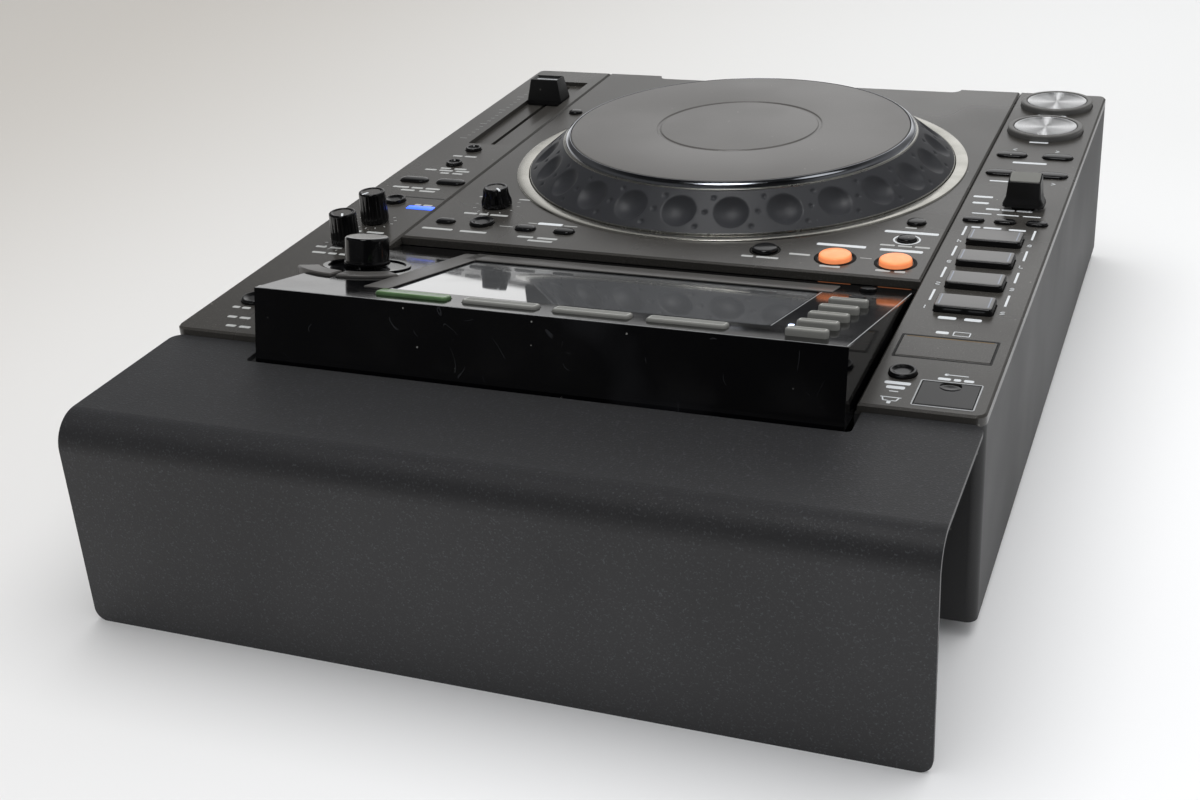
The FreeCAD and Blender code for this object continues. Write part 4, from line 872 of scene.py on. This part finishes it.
def make_door_trims():
    """The frame line and finger catch of the USB door, a dark outline round the card door that is painted
    shade of its gap, and the card door's catch line
    """
    (x, y), (width, depth), _, _ = plan("usb_door")
    line = border(width + 1.8, depth + 1.8, 0.5, 0.9, PANEL_TOP - 0.05, PANEL_TOP + 0.12, (x, y))
    piece("usb_door_frame", [line], "frame_line", loop=True)
    dish = rounded([(0.02, -0.3), (4.3, -0.3), (4.3, 0.1), (3.2, 0.5), (0.02, 0.15)], [0.1, 0.3, 0.8], 5)
    catch = lathe(dish) * (1, CATCH_WIDTH, 1) + (x, y - depth / 2 + 3.6, PANEL_TOP - 0.3)
    piece("usb_door_catch", [catch], "key_black", "usb_door")

    (x, y), (width, depth), _, _ = plan("card_door")
    # Dark border round the card door: painted shade of the gap round it
    line = border(width + 2.0, depth + 2.0, 0.8, 0.7, PANEL_TOP - 0.05, PANEL_TOP + 0.06, (x, y))
    piece("card_door_outline", [line], "dark_line", loop=True)
    section = [(0, PANEL_TOP - 0.5), (0, PANEL_TOP + 0.02)]
    catch = stacked(width - 2.0, 0.5, 0.2, section, (x, y - depth / 2 + 0.5), 4)
    piece("card_door_catch", [catch], "brass", "card_door")


def make_display_trims():
    """The matte frame beside and below the screen, and thin light lines along the glass and the housing's
    edges that are painted edge highlights
    """
    (x, _), (width, depth), _, _ = plan("display_glass")
    y = display_place("display_glass")[1]
    wide, deep = width + 2 * GAP, depth / math.cos(TILT) + 0.2
    bar = [(0, -0.4), (0, 0.16), (0.2, 0.3)]
    frames = [stacked(10.5, deep + 16.0, 0.8, bar, (x + wide / 2 + 5.6, y - 6.0), 4),
              stacked(wide + 10.0, 15.0, 0.8, bar, (x + 0.6, y - deep / 2 - 8.6), 4)]
    piece("screen_frame", [on_display(f) for f in frames], "trim")
    left = node_box("display_housing")[0][0]
    line = [(0, -0.2), (0, 0.06)]
    lines = [stacked(0.3, deep, 0.12, line, (x - wide / 2 - 0.6, y), 3),
             stacked(0.35, 112.0, 0.12, line, (left + 0.9, -57.0), 3),
             stacked(-2 * left - 2.4, 0.3, 0.12, line, (0.0, -0.75), 3)]
    # Light lines at the glass's side and the housing's left and rear top edges: painted edge highlights
    piece("housing_lines", [on_display(p) for p in lines], "frame_line")


# Printed marks, each (x, y, length, width, turn in degrees) on the panels, and lines of small
# print, each (x, y, length, height, the shares of the length that its words take). In the left
# column x starts at the pads' middle line


ONE, TWO = (1.0,), (0.46, 0.4)
LEFT_WORDS = (
    (-8.0, 124.2, 12.6, 1.5, (0.28, 0.2, 0.36)), (11.0, 131.2, 9.2, 1.8, ONE),
    (11.0, 134.8, 6.6, 1.8, ONE), (6.0, -25.6, 12.6, 1.5, (0.6, 0.3)), (-6.6, -25.2, 8.0, 1.5, (0.9,)),
    (0.0, -48.8, 20.0, 1.6, (0.34, 0.28, 0.3)), (13.6, -63.9, 8.6, 1.8, ONE), (13.4, -55.8, 7.2, 1.8, ONE),
    (0.0, -189.6, 14.0, 1.6, TWO), (0.5, -145.5, 9.0, 1.6, ONE))
LEFT_STROKES = (
    (-8.0, 120.6, 7.6, 0.5, 0), (-4.2, 120.6, 1.5, 1.5, 0), (11.0, 137.9, 3.2, 0.6, 0),
    (11.0, 142.6, 7.4, 0.5, 0), (11.0, 146.2, 1.4, 2.6, 0), (8.4, 143.9, 2.6, 0.5, 75),
    (13.6, 143.9, 2.6, 0.5, 105), (11.0, 145.2, 4.6, 0.5, 0), (10.8, -42.6, 8.4, 1.1, 0),
    (-0.4, -42.6, 9.4, 1.1, 0), (-10.6, -42.6, 7.6, 1.1, 0), (9.6, -86.2, 9.6, 1.5, 0))
RIGHT_WORDS = (
    (135.7, -71.6, 13.0, 1.5, (0.5, 0.4)), (135.0, -49.4, 24.0, 1.5, (0.3, 0.3, 0.26)),
    (138.6, -22.8, 25.0, 1.6, (0.3, 0.24, 0.34)), (124.0, -1.0, 9.0, 1.4, (0.5, 0.36)),
    (141.6, 104.6, 15.0, 1.6, (0.44, 0.46)), (135.8, 64.0, 21.0, 1.5, (0.36, 0.2, 0.32)),
    (135.8, 36.6, 21.0, 1.5, (0.4, 0.46)), (127.0, 110.0, 9.0, 1.4, (0.4, 0.5)),
    (143.5, 126.5, 8.3, 1.5, TWO), (139.0, 135.7, 10.5, 1.5, TWO), (134.4, 143.7, 11.2, 1.5, TWO),
    (141.5, 57.5, 13.0, 1.5, TWO), (136.0, -19.2, 18.0, 1.5, TWO), (133.0, -52.6, 14.0, 1.5, TWO),
    (131.0, -45.8, 12.0, 1.5, TWO))
CENTRE_WORDS = (
    (89.6, 4.2, 22.0, 1.5, (0.4, 0.2, 0.3)), (103.8, 25.9, 15.0, 1.6, ONE), (86.0, 26.2, 13.0, 1.6, ONE),
    (54.6, 27.0, 19.0, 1.6, (0.5, 0.4)), (52.6, 30.4, 13.0, 1.5, (0.9,)),
    (-102.4, 2.8, 21.0, 1.4, (0.3, 0.28, 0.3)), (-102.2, 30.9, 12.2, 1.7, (0.36, 0.5)),
    (-77.3, 31.2, 8.6, 1.7, ONE), (-46.6, 27.4, 16.0, 1.5, (0.6, 0.32)), (-62.0, 21.0, 9.0, 1.5, ONE))
CENTRE_STROKES = (
    (79.6, -17.7, 5.6, 1.3, 0), (100.0, -17.7, 5.6, 1.3, 0), (63.7, 10.4, 4.2, 0.8, 0),
    (45.3, 10.5, 6.4, 0.8, 0), (73.9, 16.6, 6.5, 0.5, 0), (-89.6, 19.4, 5.0, 0.5, 0),
    (-100.6, -18.9, 5.0, 1.4, 0))
BARS = (
    (-76.5, 7.5, 21.0, 2.6, 0), (-102.0, 8.1, 18.0, 2.6, 0), (-102.0, -13.2, 23.0, 2.6, 0),
    (55.3, 10.0, 11.8, 2.6, 0), (-137.0, -113.9, 15.6, 2.4, 0))
MODE_LINE = ((131.4, -10.3, 28.0, 0.9, 0),)
WORD_STRETCH = 1.25             # of the blocks' width over the height of the print
SCALE = (-100.0, -5.0, 21)      # of the slider: y of its first stroke, step and count
SCALE_SIDE = 10.6               # from the column's middle to the scale's short strokes
CUT_RING = (5.0, 5.8)           # radii of the ring round the rear loop cut key
TOUCH_MARKS, JOG_MARKS = 9.2, 10.4  # radii of the strokes round the knobs
PAD_PRINT = 14.4                # from the pads' middle line to their numerals and lines
LAMP_SIZE, LAMP_PLACE = (13.6, 4.4), (123.8, 2.6)
SPARK_SIZE, SPARK_OFF = (2.0, 3.4), 9.7  # of the small lamp, and how far it stands from its key's middle
SEGMENTS = {"1": "bc", "2": "abged", "3": "abgcd", "4": "fgbc", "5": "afgcd", "6": "afgedc", "7": "abc",
            "8": "abcdefg"}
TICK = (1.5, 0.4)               # a stroke round a knob
ARROW = 2.4                     # length of its strokes
DIGIT_HEIGHT, DIGIT_STROKE = 2.3, 0.45


def words(table, x=0.0):
    """Plain blocks in place of words, spread evenly over each line of small print"""
    marks = []
    for dx, y, length, height, shares in table:
        gap = length * (1 - sum(shares)) / max(len(shares) - 1, 1)
        left = x + dx - length / 2
        for share in shares:
            marks.append((left + share * length / 2, y, share * length, WORD_STRETCH * height, 0))
            left += share * length + gap
    return marks


def digit(x, y, figure):
    """A plain numeral of up to seven strokes, read from the deck's front"""
    w, h = DIGIT_HEIGHT * 0.55, DIGIT_HEIGHT / 2
    strokes = {"a": (0, h, w, 0), "g": (0, 0, w, 0), "d": (0, -h, w, 0), "f": (-w / 2, h / 2, h, 90),
               "b": (w / 2, h / 2, h, 90), "e": (-w / 2, -h / 2, h, 90), "c": (w / 2, -h / 2, h, 90)}
    return [(x + strokes[s][0], y + strokes[s][1], strokes[s][2] + DIGIT_STROKE, DIGIT_STROKE, strokes[s][3])
            for s in SEGMENTS[figure]]


def arrow(x, y, way):
    """Two strokes that meet in a point; way is 1 to the right and -1 to the left"""
    return [(x, y + s * ARROW * 0.27, ARROW, 0.5, -s * way * 40) for s in (1, -1)]


def dial_marks(knob, radius, count, sweep=270.0):
    """Short strokes round a knob, evenly over its sweep"""
    x, y = plan(knob)[0]
    turn = np.radians(np.linspace(-sweep / 2, sweep / 2, count) + 90)
    return [(x + radius * math.cos(t), y + radius * math.sin(t), *TICK, math.degrees(t)) for t in turn]


def left_column_marks():
    """The pads' numerals and lines, a card symbol, arrows and print, about the pads' middle line"""
    pads = [plan("hot_cue_pad_%d" % i)[0] for i in (1, 2, 3, 4)]
    x, first = pads[0]
    card = first + 24.7
    marks = words(((0.0, first + 11.0, 16.4, 2.0, (0.4, 0.42)), (4.0, card, 4.8, 1.8, ONE), *LEFT_WORDS), x)
    for i, (_, y) in enumerate(pads):
        for side, figure in ((1, i + 1), (-1, i + 5)):
            edge = x + side * PAD_PRINT
            marks += digit(edge, y + 2.0, str(figure)) + [(edge, y - 10.0, 11.0, 0.9, 90)]
    for s in (1, -1):
        marks += [(x - 3.2, card + s * 1.7, 6.0, 0.4, 0), (x - 3.2 + s * 3.0, card, 3.4, 0.4, 90)]
    for dx, y, way in ((-14.0, -86.6, -1), (10.0, -133.0, 1), (-10.0, -133.0, -1)):
        marks += arrow(x + dx, y, way)
    return marks + [(x + dx, *rest) for dx, *rest in LEFT_STROKES]


def right_column_marks():
    """The slider's scale, the strokes round the two speed knobs, and print"""
    x = plan("right_column_panel")[0][0] + SCALE_SIDE
    marks = words(RIGHT_WORDS)
    for knob in ("touch_speed_knob", "release_speed_knob"):
        marks += dial_marks(knob, TOUCH_MARKS, 11)
    start, step, count = SCALE
    for i in range(count):
        shift, length = (1.0, 4.0) if i % 5 == 0 else (0.0, 2.0)
        marks.append((x + shift, start + step * i, length, 0.35, 0))
    return marks


def marks_surface(marks, height, corner_steps=3):
    """Thin closed plates with round ends: one stack of two rings for each mark"""
    section, out = [(0, PANEL_TOP - PRINT_SINK), (0, PANEL_TOP + height)], []
    for x, y, length, width, turn in marks:
        rings = stacked(length, width, min(length, width) / 2 * 0.6, section, (0, 0), corner_steps)
        out.append(turned_about(rings, math.radians(turn), (x, y)))
    return out


def make_prints(sizes):
    """The printed marks of each panel, the ring round a loop cut key, and the line by the jog mode key"""
    height = sizes.print_height
    centre_marks = words(CENTRE_WORDS) + [*CENTRE_STROKES]
    centre_marks += dial_marks("jog_adjust_knob", JOG_MARKS, 9, 250.0)
    for name, marks, finish, steps in (("print_left", left_column_marks(), "ink", 3),
                                       ("print_right", right_column_marks(), "ink_dim", 3),
                                       ("print_centre", centre_marks, "ink_dim", 3),
                                       ("print_bars", BARS, "ink", 6)):
        piece(name, marks_surface(marks, height, steps), finish)
    (x, y), (_, depth), _, _ = plan("loop_cut_keys")
    key_depth = KEY_SETS["loop_cut_keys"][2][1]
    low, high = PANEL_TOP - PRINT_SINK, PANEL_TOP + height
    inner, outer = CUT_RING
    section = [(inner, low), (outer, low), (outer, high), (inner, high)]
    ring = lathe(section, (x, y + depth / 2 - key_depth / 2), 72)
    piece("print_rings", [ring], "ink", loop=True)
    piece("mode_line", marks_surface(MODE_LINE, height), "dark_line")


def make_lamps():
    """The blue bar of the jog mode and the small white lamp beside the source keys"""
    section = [(0, PANEL_TOP - 0.05), (0, PANEL_TOP + 0.1), (0.2, PANEL_TOP + 0.18)]
    piece("mode_lamp", [stacked(*LAMP_SIZE, 0.9, section, LAMP_PLACE)], "lamp")
    x, y = display_place("source_button_2")
    spark = on_display(stacked(*SPARK_SIZE, 0.9, [(0, -0.1), (0, 0.08)], (x + SPARK_OFF, y)))
    piece("source_lamp", [spark], "spark")


def make_shell():
    """Finishes of the CAD nodes that keep their own shape"""
    dress("panel", "centre_panel", "left_column_panel", "right_column_panel", "card_door")
    for finish, node in (("case", "bottom_case"), ("door", "usb_door"), ("cover", "rear_cover"),
                         ("housing", "display_housing"), ("glass", "display_glass"),
                         ("sockets", "rear_sockets"), ("drive", "disc_drive"), ("rubber", "rubber_feet")):
        dress(finish, node)


# Studio


FLOOR_RADIUS = 2.2
# The two far tones are painted shade: the floor darkens away from the deck toward -Y and toward +X
FLOOR_TONES = ("f0f0f0", "d8d8d7", "b9b5af")    # near, far toward -Y, and toward +X
FLOOR_FALLS = (((0.0, -1.0, 0.0), -0.1, 0.5), ((1.0, 0.0, 0.0), -0.2, 0.8))  # way, start and end in metres
OVERHEAD_SIZE = (1.9, 1.3)
OVERHEAD_PLACE = (-0.1, -0.4, 1.6)
OVERHEAD_TURN = (-14, -3, 0)
BACKDROP = "dfdfdd"                             # what the camera sees past the floor
ROOM_LIGHT = (0.97, 0.98, 1.0, 1.0)
SOFT_LAMPS = (((0.05, 0.19, 0.98), 12.5, 6.5), ((-0.42, -0.2, 0.88), 13.0, 1.2))  # way, half width, strength


def along(tree, vector, way):
    """How far a vector reaches along a fixed direction"""
    return add_node(tree, "VectorMath", {0: vector, 1: way}, operation="DOT_PRODUCT")["Value"]


def make_floor():
    """Pale round floor whose tone falls off slowly toward -Y and toward +X: painted shade of the light's
    falloff
    """
    turn = np.linspace(0, 2 * np.pi, 96, endpoint=False)
    rim = np.stack([FLOOR_RADIUS * np.cos(turn), FLOOR_RADIUS * np.sin(turn), 0 * turn], -1)
    near, *tones = FLOOR_TONES
    finish = Finish("Floor sweep", near, 0.7, Specular_IOR_Level=0.1)
    for (way, start, end), tone in zip(FLOOR_FALLS, tones):
        finish.mix(ranged(finish.tree, along(finish.tree, finish.place, way), start, end), tone)
    mesh = bpy.data.meshes.new("floor")
    mesh.from_pydata(rim.tolist(), [], [list(range(len(rim)))])
    mesh.materials.append(finish.material)
    add_to_scene(bpy.data.objects.new("floor", mesh))


def make_overhead(studio):
    """Large soft lamp over the deck, left out of reflections"""
    lamp = bpy.data.lights.new("overhead", "AREA")
    lamp.shape, lamp.energy = "RECTANGLE", studio.overhead
    lamp.size, lamp.size_y = OVERHEAD_SIZE
    light = add_to_scene(bpy.data.objects.new("overhead", lamp))
    light.location = OVERHEAD_PLACE
    light.rotation_euler = [math.radians(a) for a in OVERHEAD_TURN]
    light.visible_glossy = False


def room_tone(tree, direction):
    """Tone of the room in reflections. A band along the horizon and a wall above it are both bright
    toward -Y: the band grows toward +X, and the wall dims to both sides and fades upward. Soft
    lamps hang overhead"""
    x, y, z = add_node(tree, "SeparateXYZ", {"Vector": direction})
    side = math_node(tree, "ADD", times(tree, x, -0.7), times(tree, y, -0.7))
    low = times(tree, ranged(tree, x, 0.12, 0.42, 0.3, 1.1), ranged(tree, y, -0.7, -0.2, 1.0, 0.06))
    high = times(tree, ranged(tree, side, 0.05, 0.55, 0.1, 1.08), ranged(tree, x, -0.3, -0.05, 0.2, 1.0))
    tone = times(tree, ranged(tree, z, 0.05, 0.2, low, high), ranged(tree, z, 0.45, 0.85, 1.0, 0.12))
    for way, half_width, strength in SOFT_LAMPS:
        edge, core = (math.cos(math.radians(half_width * share)) for share in (1.0, 0.6))
        level = ranged(tree, along(tree, direction, way), edge, core, 0.0, strength)
        tone = math_node(tree, "ADD", tone, level)
    return add_node(tree, "CombineColor", dict.fromkeys(("Red", "Green", "Blue"), tone))["Color"]


def make_room(studio):
    """Even pale light from all round; the camera sees a plain backdrop, and reflections the room's tones"""
    world = bpy.data.worlds.new("Room")
    world.use_nodes = True
    bpy.context.scene.world = world
    tree = world.node_tree
    tree.nodes.clear()
    path = add_node(tree, "LightPath")
    mirrored = math_node(tree, "MAXIMUM", path["Is Glossy Ray"], path["Is Transmission Ray"])
    tone = room_tone(tree, add_node(tree, "TexCoord")["Generated"])
    colours = {"Factor": mirrored, "A": (*linear(BACKDROP), 1.0), "B": tone}
    colour = add_node(tree, "Mix", colours, data_type="RGBA")["Result"]
    seen = add_node(tree, "Background", {"Color": colour, "Strength": 1.0})
    plain = add_node(tree, "Background", {"Color": ROOM_LIGHT, "Strength": studio.room})
    share = math_node(tree, "MAXIMUM", path["Is Camera Ray"], mirrored)
    blend = add_node(tree, "MixShader", {0: share, 1: plain[0], 2: seen[0]})
    add_node(tree, "OutputWorld", {"Surface": blend[0]})


def make_camera():
    """The camera, and a plain view transform"""
    camera = add_to_scene(bpy.data.objects.new("camera", bpy.data.cameras.new("camera")))
    camera.data.lens, camera.data.sensor_width = CAMERA_LENS, 36.0
    camera.data.clip_start = 0.01
    camera.location = CAMERA_PLACE
    camera.rotation_euler = [math.radians(a) for a in CAMERA_TURN]
    bpy.context.scene.camera = camera
    bpy.context.scene.view_settings.view_transform = "Standard"


# Operators


class DeckFinishes(bpy.types.Operator):
    """Build the shared node groups and every finish"""
    bl_idname = "deck.finishes"
    bl_label = "Finishes"

    def execute(self, context):
        make_groups()
        make_finishes(context.scene.deck_colours)
        return {"FINISHED"}


class DeckShell(bpy.types.Operator):
    """Give the case, panels, housing, cover, feet and sockets their finishes"""
    bl_idname = "deck.shell"
    bl_label = "Shell"

    def execute(self, context):
        make_shell()
        return {"FINISHED"}


class DeckJogWheel(bpy.types.Operator):
    """Build the jog dial with its dimples, the bezel, the touch plate and the rim ring"""
    bl_idname = "deck.jog_wheel"
    bl_label = "Jog wheel"

    def execute(self, context):
        make_jog_wheel(context.scene.deck_sizes)
        return {"FINISHED"}


class DeckSmallKeys(bpy.types.Operator):
    """Build the small black keys and the pads of the panels"""
    bl_idname = "deck.small_keys"
    bl_label = "Small keys and pads"

    def execute(self, context):
        make_small_keys(context.scene.deck_sizes)
        return {"FINISHED"}


class DeckLoopKeys(bpy.types.Operator):
    """Build the lit loop keys and their collars"""
    bl_idname = "deck.loop_keys"
    bl_label = "Loop keys"

    def execute(self, context):
        make_loop_keys()
        return {"FINISHED"}


class DeckCueAndPlay(bpy.types.Operator):
    """Build the two large turned keys"""
    bl_idname = "deck.cue_and_play"
    bl_label = "Cue and play"

    def execute(self, context):
        make_cue_and_play()
        return {"FINISHED"}


class DeckDisplayKeys(bpy.types.Operator):
    """Build the keys of the display housing"""
    bl_idname = "deck.display_keys"
    bl_label = "Display keys"

    def execute(self, context):
        make_display_keys()
        return {"FINISHED"}


class DeckKnobs(bpy.types.Operator):
    """Build the fluted knobs and their pointers"""
    bl_idname = "deck.knobs"
    bl_label = "Knobs"

    def execute(self, context):
        make_knobs()
        return {"FINISHED"}


class DeckSliderAndLever(bpy.types.Operator):
    """Build the tempo slider's cap and the direction lever"""
    bl_idname = "deck.slider_and_lever"
    bl_label = "Slider and lever"

    def execute(self, context):
        make_slider_and_lever()
        return {"FINISHED"}


class DeckTrims(bpy.types.Operator):
    """Build the thin trim of the doors and the screen"""
    bl_idname = "deck.trims"
    bl_label = "Trim"

    def execute(self, context):
        make_door_trims()
        make_display_trims()
        return {"FINISHED"}


class DeckPrints(bpy.types.Operator):
    """Build the printed marks of the panels: bars, rings, strokes and plain numerals"""
    bl_idname = "deck.prints"
    bl_label = "Prints"

    def execute(self, context):
        make_prints(context.scene.deck_sizes)
        return {"FINISHED"}


class DeckLamps(bpy.types.Operator):
    """Build the small lamps"""
    bl_idname = "deck.lamps"
    bl_label = "Lamps"

    def execute(self, context):
        make_lamps()
        return {"FINISHED"}


class DeckStage(bpy.types.Operator):
    """Build the floor, the lights and the camera"""
    bl_idname = "deck.stage"
    bl_label = "Studio"

    def execute(self, context):
        make_floor()
        make_overhead(context.scene.deck_studio)
        make_room(context.scene.deck_studio)
        make_camera()
        return {"FINISHED"}


STEPS = (DeckFinishes, DeckShell, DeckJogWheel, DeckSmallKeys, DeckLoopKeys, DeckCueAndPlay, DeckDisplayKeys,
         DeckKnobs, DeckSliderAndLever, DeckTrims, DeckPrints, DeckLamps, DeckStage)


class VIEW3D_PT_deck(bpy.types.Panel):
    """Sizes, colours and steps of the disc deck"""
    bl_label = "Disc deck"
    bl_space_type = "VIEW_3D"
    bl_region_type = "UI"
    bl_category = "Disc deck"

    def draw(self, context):
        scene = context.scene
        for group in (scene.deck_colours, scene.deck_sizes, scene.deck_studio):
            for name in group.__annotations__:
                self.layout.prop(group, name)
        for step in STEPS:
            self.layout.operator(step.bl_idname)


CLASSES = (DeckColours, DeckSizes, DeckStudio, *STEPS, VIEW3D_PT_deck)


def register():
    """Register the classes, and hang the property groups on the scene"""
    for cls in CLASSES:
        bpy.utils.register_class(cls)
    bpy.types.Scene.deck_colours = bpy.props.PointerProperty(type=DeckColours)
    bpy.types.Scene.deck_sizes = bpy.props.PointerProperty(type=DeckSizes)
    bpy.types.Scene.deck_studio = bpy.props.PointerProperty(type=DeckStudio)


def unregister():
    """Undo register()"""
    for name in ("deck_colours", "deck_sizes", "deck_studio"):
        delattr(bpy.types.Scene, name)
    for cls in reversed(CLASSES):
        bpy.utils.unregister_class(cls)


def main():
    """Register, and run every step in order"""
    register()
    for step in STEPS:
        area, name = step.bl_idname.split(".")
        getattr(getattr(bpy.ops, area), name)()


if __name__ == "__main__":
    main()
